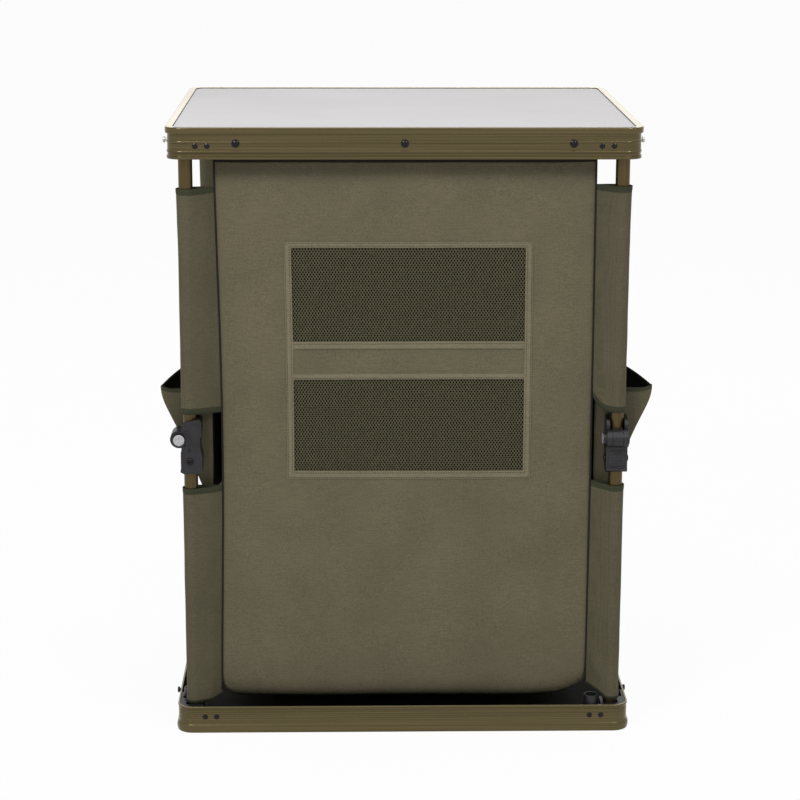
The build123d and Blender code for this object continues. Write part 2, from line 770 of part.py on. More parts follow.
# Hem angles, screwed inside the front and rear rails; the fabric hangs from their inner edge
for name, way in (("front", -1), ("rear", 1)):
    rail_inside = way * (depth / 2 - rail_inner)
    fabric_line = way * (body_half_depth - fabric)
    with BuildPart() as hem_angle:
        with BuildSketch(Plane.YZ.offset(-hem_angle_length / 2)):
            with BuildLine():
                Polyline(
                    (rail_inside, hem_roof),
                    (fabric_line, hem_roof),
                    (fabric_line, hem_roof - hem_angle_wall),
                    (rail_inside - way * hem_angle_wall, hem_roof - hem_angle_wall),
                    (rail_inside - way * hem_angle_wall, hem_roof - hem_angle_drop),
                    (rail_inside, hem_roof - hem_angle_drop),
                    (rail_inside, hem_roof),
                )
            make_face()
        extrude(amount=hem_angle_length)
        for plane in rail_screw_planes(rail_inner):
            if plane.z_dir.Y * way > 0:
                with BuildSketch(plane):
                    Circle(rail_screw_shank + body_fit)
                extrude(amount=-hem_angle_wall, mode=Mode.SUBTRACT)
    hem_angle.part.label = f"hem_angle_{name}"
    export_step(hem_angle.part, f"parts/hem_angle_{name}.step")

# Vented front panel with its two window openings and the raised tape round them
front_face = Plane(origin=(0, -body_half_depth, 0), x_dir=(1, 0, 0), z_dir=(0, -1, 0))
panel_middle = (fabric_top + body_bottom) / 2
windows = (
    (upper_mesh_top - mesh_height, upper_mesh_top),
    (lower_mesh_bottom, lower_mesh_bottom + mesh_height),
)
with BuildPart() as vent_panel:
    with BuildSketch(front_face):
        with Locations((0, panel_middle)):
            Rectangle(2 * body_half_width, fabric_top - body_bottom)
    extrude(amount=-fabric)
    with BuildSketch(front_face):
        with Locations((window_centre, (window_tape_top + window_tape_bottom) / 2)):
            Rectangle(window_tape_width, window_tape_top - window_tape_bottom)
    extrude(amount=window_tape_proud)
    with BuildSketch(front_face.offset(window_tape_proud)):
        for bottom, top in windows:
            with Locations((window_centre, (bottom + top) / 2)):
                Rectangle(mesh_width, top - bottom)
    extrude(amount=-fabric - window_tape_proud, mode=Mode.SUBTRACT)
vent_panel.part.label = "vent_panel"
export_step(vent_panel.part, "parts/vent_panel.step")

# Net in both windows: one holed sheet each, sewn behind the panel
with BuildPart() as window_nets:
    for bottom, top in windows:
        pitch_x = mesh_width / net_columns
        pitch_z = (top - bottom) / net_rows
        with BuildSketch(front_face.offset(-fabric)):
            with Locations((window_centre, (bottom + top) / 2)):
                Rectangle(mesh_width + 2 * net_margin, top - bottom + 2 * net_margin)
                for columns, rows in ((net_columns, net_rows), (net_columns - 1, net_rows - 1)):
                    with GridLocations(pitch_x, pitch_z, columns, rows):
                        half_x = pitch_x / 2 - net_cord / 2
                        half_z = pitch_z / 2 - net_cord / 2
                        Polygon((half_x, 0), (0, half_z), (-half_x, 0), (0, -half_z), mode=Mode.SUBTRACT)
        extrude(amount=-net_thickness)
window_nets.part.label = "window_nets"
export_step(window_nets.part, "parts/window_nets.step")

# Side panels, between the front and rear panels
for name, way in (("left", -1), ("right", 1)):
    side_face = Plane(origin=(way * body_half_width, 0, 0), x_dir=(0, way, 0), z_dir=(way, 0, 0))
    with BuildPart() as side_panel:
        with BuildSketch(side_face):
            with Locations((0, panel_middle)):
                Rectangle(2 * (body_half_depth - fabric), fabric_top - body_bottom)
        extrude(amount=-fabric)
    side_panel.part.label = f"side_panel_{name}"
    export_step(side_panel.part, f"parts/side_panel_{name}.step")

# Rear panel with the door opening
rear_face = Plane(origin=(0, body_half_depth, 0), x_dir=(-1, 0, 0), z_dir=(0, 1, 0))
door_middle = (door_bottom + door_top) / 2
with BuildPart() as rear_panel:
    with BuildSketch(rear_face):
        with Locations((0, panel_middle)):
            Rectangle(2 * body_half_width, fabric_top - body_bottom)
        with Locations((0, door_middle)):
            RectangleRounded(2 * door_half_width, door_top - door_bottom, door_corner, mode=Mode.SUBTRACT)
    extrude(amount=-fabric)
rear_panel.part.label = "rear_panel"
export_step(rear_panel.part, "parts/rear_panel.step")

# Door flap over the opening, with the zip round its two sides and lower edge
flap_half_width = door_half_width + door_overlap
flap_bottom = door_bottom - door_overlap
flap_top = door_top + door_overlap
with BuildPart() as door_flap:
    with BuildSketch(rear_face.offset(door_gap)):
        with Locations((0, (flap_bottom + flap_top) / 2)):
            Rectangle(2 * flap_half_width, flap_top - flap_bottom)
    extrude(amount=fabric)
door_flap.part.label = "door_flap"
export_step(door_flap.part, "parts/door_flap.step")

with BuildPart() as door_zip:
    with BuildSketch(rear_face):
        outer_half = flap_half_width + door_gap + zip_width
        outer_bottom = flap_bottom - door_gap - zip_width
        with Locations((0, (outer_bottom + flap_top) / 2)):
            Rectangle(2 * outer_half, flap_top - outer_bottom)
        inner_bottom = flap_bottom - door_gap
        with Locations((0, (inner_bottom + flap_top) / 2)):
            Rectangle(2 * (flap_half_width + door_gap), flap_top - inner_bottom, mode=Mode.SUBTRACT)
    extrude(amount=zip_thickness)
door_zip.part.label = "door_zip"
export_step(door_zip.part, "parts/door_zip.step")

with BuildPart() as zip_pulls:
    with BuildSketch(rear_face.offset(door_gap + fabric)):
        with Locations((-2 * zip_pull_width, flap_bottom), (2 * zip_pull_width, flap_bottom)):
            RectangleRounded(zip_pull_width, zip_pull_length, zip_pull_width / 3)
    extrude(amount=zip_pull_thickness)
zip_pulls.part.label = "zip_pulls"
export_step(zip_pulls.part, "parts/zip_pulls.step")

# Two shelves, which come down as the body folds
for name, level in (("upper", upper_shelf_height), ("lower", lower_shelf_height)):
    with BuildPart() as shelf:
        with BuildSketch(Plane.XY.offset(level)):
            RectangleRounded(2 * shelf_half_width, 2 * shelf_half_depth, shelf_corner)
        extrude(amount=-shelf_thickness)
        fillet(shelf.faces().sort_by(Axis.Z)[-1].edges(), radius=shelf_edge_round)
    shelf.part.label = f"{name}_shelf"
    export_step(shelf.part, f"parts/{name}_shelf.step")


def pocket_section(side_x, side_y, level, reach, belly, inset):
    """Plan of a pocket at one level: flat on the side panel, square at the front, bowed outside."""
    back = side_x * (body_half_width + pocket_gap + inset)
    near = side_y * (pocket_near - inset)
    far = side_y * (pocket_far + inset)
    with BuildSketch(Plane.XY.offset(level)) as section:
        with BuildLine():
            Line((back, near), (side_x * (reach - inset), near))
            ThreePointArc(
                (side_x * (reach - inset), near), (side_x * (belly - inset), side_y * pocket_belly_back), (back, far)
            )
            Line((back, far), (back, near))
        make_face()
    return section.sketch


# Side pockets: bags open at the top, two on each side of the body
foot_reach = body_half_width + pocket_gap + pocket_foot
foot_belly = body_half_width + pocket_gap + pocket_foot * (pocket_belly - body_half_width) / (
    pocket_reach - body_half_width
)
for name, side_x in (("left", -1), ("right", 1)):
    with BuildPart() as pockets:
        for side_y in (-1, 1):
            loft(
                [
                    pocket_section(side_x, side_y, pocket_bottom, foot_reach, foot_belly, 0),
                    pocket_section(side_x, side_y, pocket_mouth_height, pocket_reach, pocket_belly, 0),
                ],
                ruled=True,
            )
            loft(
                [
                    pocket_section(side_x, side_y, pocket_bottom + fabric, foot_reach, foot_belly, fabric),
                    pocket_section(side_x, side_y, pocket_mouth_height, pocket_reach, pocket_belly, fabric),
                ],
                ruled=True,
                mode=Mode.SUBTRACT,
            )
    pockets.part.label = f"side_pockets_{name}"
    export_step(pockets.part, f"parts/side_pockets_{name}.step")

print("knee offset", knee_offset, "knee height", knee_height, "folded height", folded_height)
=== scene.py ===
import json
import math

import bmesh
import bpy
from mathutils import Matrix, Vector, noise


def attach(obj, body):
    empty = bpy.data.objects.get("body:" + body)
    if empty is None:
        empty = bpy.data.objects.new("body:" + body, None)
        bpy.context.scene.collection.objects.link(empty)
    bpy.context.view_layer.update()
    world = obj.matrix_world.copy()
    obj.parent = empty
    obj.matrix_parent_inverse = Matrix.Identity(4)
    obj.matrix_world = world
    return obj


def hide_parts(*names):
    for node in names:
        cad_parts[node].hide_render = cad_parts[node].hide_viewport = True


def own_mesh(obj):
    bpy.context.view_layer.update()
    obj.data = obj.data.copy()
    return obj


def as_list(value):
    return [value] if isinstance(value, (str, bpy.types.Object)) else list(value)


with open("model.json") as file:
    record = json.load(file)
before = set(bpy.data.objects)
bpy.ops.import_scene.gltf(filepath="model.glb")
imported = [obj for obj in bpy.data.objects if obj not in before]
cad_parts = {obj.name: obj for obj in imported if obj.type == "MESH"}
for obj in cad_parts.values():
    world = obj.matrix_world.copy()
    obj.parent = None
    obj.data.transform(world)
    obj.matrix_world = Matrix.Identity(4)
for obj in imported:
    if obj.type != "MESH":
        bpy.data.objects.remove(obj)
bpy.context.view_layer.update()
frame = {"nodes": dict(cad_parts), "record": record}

# Folding storage cupboard. Meshes are drawn in millimetres and brought to metres when a piece is made.
# The vented face looks along -Y, and the origin is on the ground at the middle of the base frame.
scene = bpy.context.scene
scene.view_settings.view_transform = "Standard"
toMetres = 0.001
print("frame loaded")

cupboard = {
    "halfWidth": 300.0,  # over the proud lips
    "halfDepth": 250.0,
    "bend": 22.0,  # corner radius of both frames
    "legX": 275.5,
    "legY": 225.5,
    "fabricTop": 785.4,
    "kneeHeight": 398.0,
}
bodyOf = {node: body for body, nodes in frame["record"]["behaviour"]["bodies"].items() for node in nodes}
corners = {  # side in X, side in Y, and the turn about Z of that leg's parts
    "front_left": (-1, -1, 0),
    "front_right": (1, -1, 90),
    "rear_right": (1, 1, 180),
    "rear_left": (-1, 1, 270),
}


# Camera at the photograph's place
cameraSet = {
    "place": (-0.06691, -3.10456, 1.13915),
    "down": 13.528,
    "across": 1.2325,
    "roll": 0.142,
    "lens": 103.443,
}


def placeCamera(settings):
    down, across, roll = (math.radians(settings[key]) for key in ("down", "across", "roll"))
    forward = Vector((math.sin(across) * math.cos(down), math.cos(across) * math.cos(down), -math.sin(down)))
    level = Vector((math.cos(across), -math.sin(across), 0))
    upright = level.cross(forward)
    right = level * math.cos(roll) + upright * math.sin(roll)
    up = upright * math.cos(roll) - level * math.sin(roll)
    data = bpy.data.cameras.new("studioCamera")
    data.sensor_width = 36
    data.lens = settings["lens"]
    data.clip_end = 100
    camera = bpy.data.objects.new("studioCamera", data)
    scene.collection.objects.link(camera)
    turned = Matrix((right, up, -forward)).transposed().to_4x4()
    camera.matrix_world = Matrix.Translation(settings["place"]) @ turned
    scene.camera = camera


placeCamera(cameraSet)


def linearColour(hexText):
    # sRGB hex to the linear values that Blender mixes
    shares = [int(hexText[i : i + 2], 16) / 255 for i in (1, 3, 5)]
    return tuple(s / 12.92 if s <= 0.04045 else ((s + 0.055) / 1.055) ** 2.4 for s in shares) + (1.0,)


def addNode(tree, kind, inputs=None, **settings):
    node = tree.nodes.new("ShaderNode" + kind)
    for key, value in settings.items():
        setattr(node, key, value)
    for key, value in (inputs or {}).items():
        if isinstance(value, bpy.types.NodeSocket):
            tree.links.new(value, node.inputs[key])
        else:
            node.inputs[key].default_value = value
    return node


def startMaterial(name, sockets, *noises):
    # Each noise is (scale, detail). 1000 divided by a scale is the size of its patches in millimetres.
    material = bpy.data.materials.new(name)
    material.use_nodes = True
    tree = material.node_tree
    tree.nodes.clear()
    shader = addNode(tree, "BsdfPrincipled", sockets)
    addNode(tree, "OutputMaterial", {"Surface": shader.outputs["BSDF"]})
    place = addNode(tree, "TexCoord").outputs["Object"]
    patterns = []
    for scale, detail in noises:
        inputs = {"Vector": place, "Scale": scale, "Detail": detail}
        patterns.append(addNode(tree, "TexNoise", inputs).outputs["Fac"])
    return material, tree, shader, place, patterns


def finishSurface(tree, shader, pattern, span, dark, light, rough=None, relief=None):
    # Colour from dark to light over a pattern's span, with roughness and relief over patterns of their own.
    # rough is (pattern, lowest, highest), relief is (pattern, strength, height in metres).
    limits = {"Value": pattern, "From Min": span[0], "From Max": span[1]}
    share = addNode(tree, "MapRange", limits).outputs["Result"]
    colours = {0: share, 6: linearColour(dark), 7: linearColour(light)}
    tone = addNode(tree, "Mix", colours, data_type="RGBA").outputs[2]
    tree.links.new(tone, shader.inputs["Base Color"])
    if rough:
        limits = {"Value": rough[0], "From Min": 0.3, "From Max": 0.7, "To Min": rough[1], "To Max": rough[2]}
        ranged = addNode(tree, "MapRange", limits).outputs["Result"]
        tree.links.new(ranged, shader.inputs["Roughness"])
    if relief:
        bump = addNode(tree, "Bump", dict(zip(("Height", "Strength", "Distance"), relief)))
        tree.links.new(bump.outputs[0], shader.inputs["Normal"])
    return tone


def wovenCloth(name, dark, light, thread, sheen=0.15, relief=0.5):
    # Polyester oxford cloth with a coated back: dull, a little mottled, with an even plain weave
    sockets = {
        "Roughness": 0.82, "Specular IOR Level": 0.25,
        "Sheen Weight": sheen, "Sheen Roughness": 0.5, "Sheen Tint": linearColour("#6C7F55"),
    }
    material, tree, shader, place, (mottle, fleck) = startMaterial(name, sockets, (14.0, 4.0), (620.0, 2.0))
    apart = addNode(tree, "SeparateXYZ", {"Vector": place}).outputs
    along = addNode(tree, "Math", {0: apart["X"], 1: apart["Y"]}).outputs[0]
    flat = addNode(tree, "CombineXYZ", {"X": along, "Z": apart["Z"]}).outputs[0]
    # A wave texture's period is 0.314 divided by its scale. Threads are drawn coarser than real ones, to show.
    threads = {"Vector": flat, "Scale": 0.314 / (thread * toMetres)}
    warp = addNode(tree, "TexWave", threads, bands_direction="X").outputs["Fac"]
    weft = addNode(tree, "TexWave", threads, bands_direction="Z").outputs["Fac"]
    weave = addNode(tree, "Math", {0: warp, 1: weft}, operation="MULTIPLY").outputs[0]
    # Yarn that is thicker or thinner from thread to thread: streaks about 17 mm long and 2 mm high
    yarn = addNode(tree, "Mapping", {"Vector": flat, "Scale": (60, 1, 500)}).outputs[0]
    slub = addNode(tree, "TexNoise", {"Vector": yarn, "Scale": 1.0, "Detail": 3.0}).outputs["Fac"]
    blended = addNode(tree, "Math", {0: mottle, 1: slub, 2: fleck}, operation="MULTIPLY_ADD")
    height = addNode(tree, "Math", {0: weave, 1: fleck}, operation="ADD").outputs[0]
    tone = finishSurface(
        tree, shader, blended.outputs[0], (0.45, 1.05), dark, light, relief=(height, relief, 0.0004)
    )
    # Painted shade: the gaps between the threads are darker
    limits = {"Value": weave, "From Min": 0.0, "From Max": 0.35, "To Min": 0.16, "To Max": 0.0}
    gap = addNode(tree, "MapRange", limits).outputs["Result"]
    shaded = addNode(tree, "Mix", {0: gap, 6: tone, 7: linearColour("#1F1D16")}, data_type="RGBA")
    tree.links.new(shaded.outputs[2], shader.inputs["Base Color"])
    return material


def anodised(name, dark, light, roughness, metallic=0.85, dieLines=(3, 3, 900)):
    # Extruded aluminium, sandblasted and anodised: a satin metal with faint die lines along its length
    sockets = {"Roughness": roughness, "Metallic": metallic}
    material, tree, shader, place, (grit,) = startMaterial(name, sockets, (1500.0, 2.0))
    drawn = addNode(tree, "Mapping", {"Vector": place, "Scale": dieLines}).outputs[0]
    lines = addNode(tree, "TexNoise", {"Vector": drawn, "Scale": 1.0, "Detail": 3.0}).outputs[0]
    finishSurface(
        tree, shader, lines, (0.35, 0.65), dark, light,
        rough=(grit, roughness - 0.04, roughness + 0.06), relief=(lines, 0.12, 0.0002),
    )
    return material


def moulded(name, dark, light, roughness, grain, relief, specular=0.4):
    # Injection-moulded plastic with a spark-eroded grain, given in millimetres: an even, soft gloss
    sockets = {"Roughness": roughness, "Specular IOR Level": specular}
    material, tree, shader, _, (coarse, fine) = startMaterial(name, sockets, (60.0, 3.0), (1000 / grain, 2.0))
    finishSurface(
        tree, shader, coarse, (0.35, 0.65), dark, light,
        rough=(fine, roughness - 0.07, roughness + 0.09), relief=(fine, relief, 0.0003),
    )
    return material


def smallFinish(name, dark, light, roughness, metallic):
    # Plated steel or spun yarn a few millimetres across: its tone and gloss change over 2.5 mm patches
    sockets = {"Roughness": roughness, "Metallic": metallic}
    material, tree, shader, _, (patch,) = startMaterial(name, sockets, (400.0, 4.0))
    finishSurface(
        tree, shader, patch, (0.35, 0.65), dark, light, rough=(patch, roughness - 0.05, roughness + 0.1)
    )
    return material


bodyCloth = wovenCloth("oliveOxfordCloth", "#5C5642", "#746D57", 1.5)
sleeveCloth = wovenCloth("oliveSleeveCloth", "#504B39", "#635D49", 1.5)  # the same cloth, a darker roll
hemCloth = wovenCloth("darkBindingTape", "#2E3123", "#40432F", 1.1, relief=0.7)  # ribbed bias tape
tapeCloth = wovenCloth("windowTapeCloth", "#726C57", "#8C846C", 1.2, relief=0.7)  # paler ribbed tape
shadeBlackLining = wovenCloth("liningPaintedShade", "#0B0A07", "#14120D", 1.5, sheen=0.0)  # near black: painted shade for the inside of the body and the recess behind the pockets
railMetal = anodised("oliveAnodisedAluminium", "#51472F", "#63593D", 0.2)  # catches the lamps along its beads
lipReflectionPaint = anodised("lipPaintedReflection", "#D8D1BC", "#E6E0CE", 0.34, 0.5)  # pale cream: painted reflection of the white surround on the lip's top
baseRimHighlight = anodised("baseRimPaintedHighlight", "#8F866A", "#A39A7C", 0.3, 0.6)  # paler metal: painted highlight along the top of the base frame's rim
tubeMetal = anodised("bronzeAnodisedTube", "#4B3F27", "#5A4D31", 0.34, dieLines=(900, 900, 3))  # browner
nylon = moulded("blackGlassFilledNylon", "#141215", "#201D21", 0.38, 0.5, 0.4)  # grey where it catches light
boardShadeDark = moulded("darkBoardPaintedShade", "#131210", "#1C1A17", 0.75, 0.8, 0.25, 0.12)  # dark board, darkened further as painted shade for the cupboard's inside
blackSteel = smallFinish("blackZincSteel", "#1A1819", "#282526", 0.16, 0.8)  # glossy, with sharp glints
brightSteel = smallFinish("brightZincSteel", "#A9A8A4", "#C8C6C1", 0.3, 0.9)  # bright heads on the side rails
toothPlastic = moulded("mouldedZipTeeth", "#2E3025", "#3B3D30", 0.45, 0.4, 0.2)  # acetal, with a low shine
seamThread = smallFinish("polyesterThread", "#2C281B", "#3A3524", 0.75, 0.0)  # dull, sunk into the tape
pipingShadowBlack = smallFinish("darkPipingPaintedShadow", "#0F0B05", "#191309", 0.95, 0.0)  # nearly black, no gloss: dark piping darkened further as painted shadow in the seam gaps
netYarn = smallFinish("oliveNetYarn", "#403D29", "#565238", 0.8, 0.0)  # knitted polyester, dull


def greyLaminate():
    # High-pressure laminate: pale grey, satin, with a fine printed fleck
    sockets = {"Roughness": 0.55, "Specular IOR Level": 0.2}
    noises = ((700.0, 3.0), (5.0, 2.0))
    material, tree, shader, _, (fleck, cloud) = startMaterial("paleGreyLaminate", sockets, *noises)
    both = addNode(tree, "Math", {0: fleck, 1: cloud}, operation="ADD").outputs[0]
    finishSurface(tree, shader, both, (0.75, 1.25), "#BDBBBC", "#C5C3C4", relief=(fleck, 0.12, 0.0002))
    return material


def speckledCap():
    # Die-cast button face, painted silver with coarse dark flakes about 0.8 mm across
    sockets = {"Roughness": 0.4, "Metallic": 0.3}
    material, tree, shader, place, (patch,) = startMaterial("speckledSilverCap", sockets, (900.0, 3.0))
    flakes = addNode(tree, "TexVoronoi", {"Vector": place, "Scale": 1100.0}).outputs["Distance"]
    both = addNode(tree, "Math", {0: flakes, 1: patch}, operation="MULTIPLY").outputs[0]
    finishSurface(tree, shader, both, (0.12, 0.42), "#8E8C8E", "#D6D4D5", relief=(both, 0.3, 0.0002))
    return material


laminate = greyLaminate()
capPaint = speckledCap()
print("materials made")


def makePiece(name, bm, materials, body, sharpAngle=35.0, slotName=None):
    bmesh.ops.scale(bm, vec=(toMetres,) * 3, verts=bm.verts)
    mesh = bpy.data.meshes.new(name)
    bm.to_mesh(mesh)
    bm.free()
    for material in materials:
        mesh.materials.append(material)
    mesh.shade_smooth()
    mesh.set_sharp_from_angle(angle=math.radians(sharpAngle))
    piece = bpy.data.objects.new(name, mesh)
    scene.collection.objects.link(piece)
    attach(piece, body)
    return piece


def onlyOf(kind, made):
    return [item for item in made if isinstance(item, kind)]


def roundOff(bm, geom, size, segments, affect="EDGES"):
    bmesh.ops.bevel(bm, geom=geom, offset=size, segments=segments, profile=0.5, affect=affect, material=-1)


def legMiddle(sideX, sideY):
    return Vector((sideX * cupboard["legX"], sideY * cupboard["legY"], 0))


# Ring frames: one profile each, run along the four rails and round the four bends.
# A profile point is (inset from the outermost face, height, rounding).
railSet = {
    "bendSteps": 12,
    "wall": 2.5,  # inset of the base frame's wall
    "grooves": (16.6, 19.4, 22.2, 25.0, 27.8, 30.6),  # heights of the fine grooves in that wall
    "grooveDepth": 0.35, "grooveMouth": 0.5, "grooveFloor": 0.15,  # the last two are half widths
}
baseProfile = [(1.0, 0.0, 0.8), (0.0, 3.6, 2.4), (0.0, 9.4, 2.2), (2.2, 12.4, 1.2), (2.5, 14.2, 0.0)]
for groove in railSet["grooves"]:
    wall, deep = railSet["wall"], railSet["wall"] + railSet["grooveDepth"]
    mouth, bed = railSet["grooveMouth"], railSet["grooveFloor"]
    baseProfile += [(wall, groove - mouth, 0.0), (deep, groove - bed, 0.0)]
    baseProfile += [(deep, groove + bed, 0.0), (wall, groove + mouth, 0.0)]
baseProfile += [
    (2.5, 32.6, 0.3), (1.7, 33.5, 0.5), (1.7, 36.0, 0.8), (4.4, 36.0, 0.6), (4.2, 33.0, 0.0), (4.2, 1.8, 0.3),
    (18.2, 1.8, 0.5), (18.2, 0.0, 0.5),
]
topProfile = [
    (4.2, 760.0, 0.0), (2.0, 760.0, 0.4), (1.7, 763.6, 0.5), (2.9, 764.2, 0.0), (2.9, 767.4, 0.0),
    (1.9, 768.0, 0.8), (1.9, 770.4, 0.8), (2.7, 771.0, 0.0), (2.7, 779.8, 0.0), (1.9, 780.4, 0.8),
    (1.9, 782.8, 0.8), (2.7, 783.4, 0.0), (2.9, 791.6, 0.4), (0.7, 791.7, 0.5), (0.0, 793.0, 0.8),
    (0.0, 800.0, 1.5), (9.6, 800.0, 0.5), (9.6, 791.7, 0.3), (4.2, 791.7, 0.0), (4.2, 788.8, 0.0),
    (18.2, 788.8, 0.4), (18.2, 787.0, 0.4), (4.2, 787.0, 0.0),
]


def sweepRail(name, profile, node, paintedGleamMetal, gleamAbove, frontToo):
    halfX = cupboard["halfWidth"] - cupboard["bend"]
    halfY = cupboard["halfDepth"] - cupboard["bend"]
    bm = bmesh.new()
    points = [bm.verts.new((-halfX, -cupboard["halfDepth"] + inset, height)) for inset, height, _ in profile]
    face = bm.faces.new(points)
    for radius in sorted({rounding for _, _, rounding in profile if rounding}):
        chosen = [point for point, (_, _, rounding) in zip(points, profile) if rounding == radius]
        roundOff(bm, chosen, radius, 3, "VERTICES")
    edges = list(bm.edges)
    bmesh.ops.delete(bm, geom=list(bm.faces), context="FACES_ONLY")
    runs = ((1, 0, 2 * halfX), (0, 1, 2 * halfY), (-1, 0, 2 * halfX), (0, -1, 2 * halfY))
    bends = ((halfX, -halfY), (halfX, halfY), (-halfX, halfY), (-halfX, -halfY))
    for (wayX, wayY, length), (bendX, bendY) in zip(runs, bends):
        grown = bmesh.ops.extrude_edge_only(bm, edges=edges)["geom"]
        moved = onlyOf(bmesh.types.BMVert, grown)
        bmesh.ops.translate(bm, vec=(wayX * length, wayY * length, 0), verts=moved)
        edges = onlyOf(bmesh.types.BMEdge, grown)
        turned = bmesh.ops.spin(
            bm, geom=moved + edges, cent=(bendX, bendY, 0), axis=(0, 0, 1), angle=math.pi / 2,
            steps=railSet["bendSteps"], use_merge=False,
        )["geom_last"]
        edges = onlyOf(bmesh.types.BMEdge, turned)
    bmesh.ops.remove_doubles(bm, verts=bm.verts, dist=0.01)
    bmesh.ops.recalc_face_normals(bm, faces=bm.faces)
    for face in bm.faces:
        centre = face.calc_center_median()
        toSide = cupboard["halfWidth"] - abs(centre.x)
        toEnd = cupboard["halfDepth"] - (abs(centre.y) if frontToo else centre.y)
        if centre.z > gleamAbove and face.normal.z > 0.75 and min(toSide, toEnd) < 12:
            face.material_index = 1  # the top of the outer lip: painted highlight on the base frame, painted reflection on the top frame
    piece = makePiece(name, bm, [railMetal, paintedGleamMetal], bodyOf[node], 40, "frame_aluminium")
    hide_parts(node)


sweepRail("baseRail", baseProfile, "base_frame", baseRimHighlight, 35.4, True)
sweepRail("topRail", topProfile, "top_frame", lipReflectionPaint, 799.2, False)
print("ring frames swept")


# Rigid parts keep their solids' form: a merged copy with softened edges
def softenNode(name, node, materials, edge, slotName, angle=32.0, segments=2, faceAxis=None):
    bm = bmesh.new()
    bm.from_mesh(frame["nodes"][node].data)
    bmesh.ops.remove_doubles(bm, verts=bm.verts, dist=0.000002)
    bmesh.ops.dissolve_limit(bm, angle_limit=math.radians(1.5), verts=bm.verts, edges=bm.edges)
    for face in bm.faces:
        face.material_index = 1 if faceAxis and abs(face.normal.dot(faceAxis)) < 0.5 else 0
    bmesh.ops.scale(bm, vec=(1 / toMetres,) * 3, verts=bm.verts)
    piece = makePiece(name, bm, materials, bodyOf[node], angle, slotName)
    bevel = piece.modifiers.new("softEdges", "BEVEL")
    bevel.width = edge * toMetres
    bevel.segments = segments
    bevel.limit_method = "ANGLE"
    bevel.angle_limit = math.radians(angle)
    bevel.harden_normals = True
    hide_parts(node)


rigidPieces = (  # piece, node, material, softened edge in millimetres, slot
    ("tableTop", "table_top", laminate, 0.3, "table_laminate"),
    ("basePanel", "base_panel", boardShadeDark, 0.6, "dark_board"),
    ("upperShelf", "upper_shelf", boardShadeDark, 0.5, "dark_board"),
    ("lowerShelf", "lower_shelf", boardShadeDark, 0.5, "dark_board"),
    ("railScrews", "rail_screws", blackSteel, 0.25, "black_steel"),
    ("baseStuds", "base_strap_studs", blackSteel, 0.3, "black_steel"),
    ("topStuds", "top_strap_studs", brightSteel, 0.3, "bright_steel"),
    ("hemAngleFront", "hem_angle_front", railMetal, 0.3, "frame_aluminium"),
    ("hemAngleRear", "hem_angle_rear", railMetal, 0.3, "frame_aluminium"),
)
for name, node, material, edge, slotName in rigidPieces:
    softenNode(name, node, [material], edge, slotName)


def paintNode(node, material):
    # Round parts that look right as they are only get their finish
    mesh = frame["nodes"][node].data
    mesh.materials.clear()
    mesh.materials.append(material)


for end in ("base", "top"):
    paintNode(f"{end}_bracket_fasteners", blackSteel)
for corner, (_, _, turn) in corners.items():
    for end in ("base", "top"):
        softenNode(f"{end}Bracket_{corner}", f"{end}_bracket_{corner}", [nylon], 0.5, "black_nylon")
    for part in ("lower_tube", "upper_tube"):
        paintNode(f"{part}_{corner}", tubeMetal)
    softenNode(f"lowerKnuckle_{corner}", f"lower_knuckle_{corner}", [nylon], 0.7, "black_nylon", segments=3)
    softenNode(f"upperKnuckle_{corner}", f"upper_knuckle_{corner}", [nylon], 0.6, "black_nylon")
    softenNode(f"kneeHardware_{corner}", f"knee_hardware_{corner}", [blackSteel], 0.25, "black_steel")
    pressWay = Vector((0, 1, 0)) if turn % 180 == 0 else Vector((1, 0, 0))
    softenNode(
        f"releaseButton_{corner}", f"release_button_{corner}", [capPaint, nylon], 0.3, "button_cap",
        faceAxis=pressWay,
    )


# Knurling on each knuckle's grip pad: rows of low pyramids on the face that looks away from the fold
knurlSet = {"pitch": 2.0, "height": 0.55, "halfWidth": 9.0, "low": 354.5, "high": 378.5, "face": 11.9}


def knurlPad(corner, sideX, sideY, turn):
    bm = bmesh.new()
    middle = legMiddle(sideX, sideY)
    swing = Matrix.Rotation(math.radians(turn), 4, "Z")
    outward = swing @ Vector((-1, 0, 0))
    across = swing @ Vector((0, 1, 0))
    spin = swing @ Matrix.Rotation(math.radians(-90), 4, "Y")
    rows = int((knurlSet["high"] - knurlSet["low"]) / knurlSet["pitch"]) + 1
    columns = int(2 * knurlSet["halfWidth"] / knurlSet["pitch"]) + 1
    for row in range(rows):
        for column in range(columns - row % 2):
            side = (column - (columns - 1) / 2 + 0.5 * (row % 2)) * knurlSet["pitch"]
            point = middle + outward * (knurlSet["face"] + knurlSet["height"] / 2) + across * side
            point.z = knurlSet["low"] + row * knurlSet["pitch"]
            bmesh.ops.create_cone(
                bm, cap_ends=False, segments=4, radius1=knurlSet["pitch"] * 0.62, radius2=0.25,
                depth=knurlSet["height"], matrix=Matrix.Translation(point) @ spin,
            )
    bmesh.ops.recalc_face_normals(bm, faces=bm.faces)
    makePiece(f"gripKnurl_{corner}", bm, [nylon], f"lower_leg_{corner}", 20, "black_nylon")


for corner, (sideX, sideY, turn) in corners.items():
    knurlPad(corner, sideX, sideY, turn)
print("rigid parts softened")


# Cloth: a flat grid in the piece's own (across, up) millimetres, cut at its openings, then hung in place
def cutAlong(bm, point, way, reach=0.01, outer=False):
    everything = list(bm.verts) + list(bm.edges) + list(bm.faces)
    bmesh.ops.bisect_plane(bm, geom=everything, dist=reach, plane_co=point, plane_no=way, clear_outer=outer)


def cutBox(bm, box, reach=0.01, outer=False):
    left, right, bottom, top = box
    for x, way in ((left, -1), (right, 1)):
        cutAlong(bm, (x, 0, 0), (way, 0, 0), reach, outer)
    for y, way in ((bottom, -1), (top, 1)):
        cutAlong(bm, (0, y, 0), (0, way, 0), reach, outer)


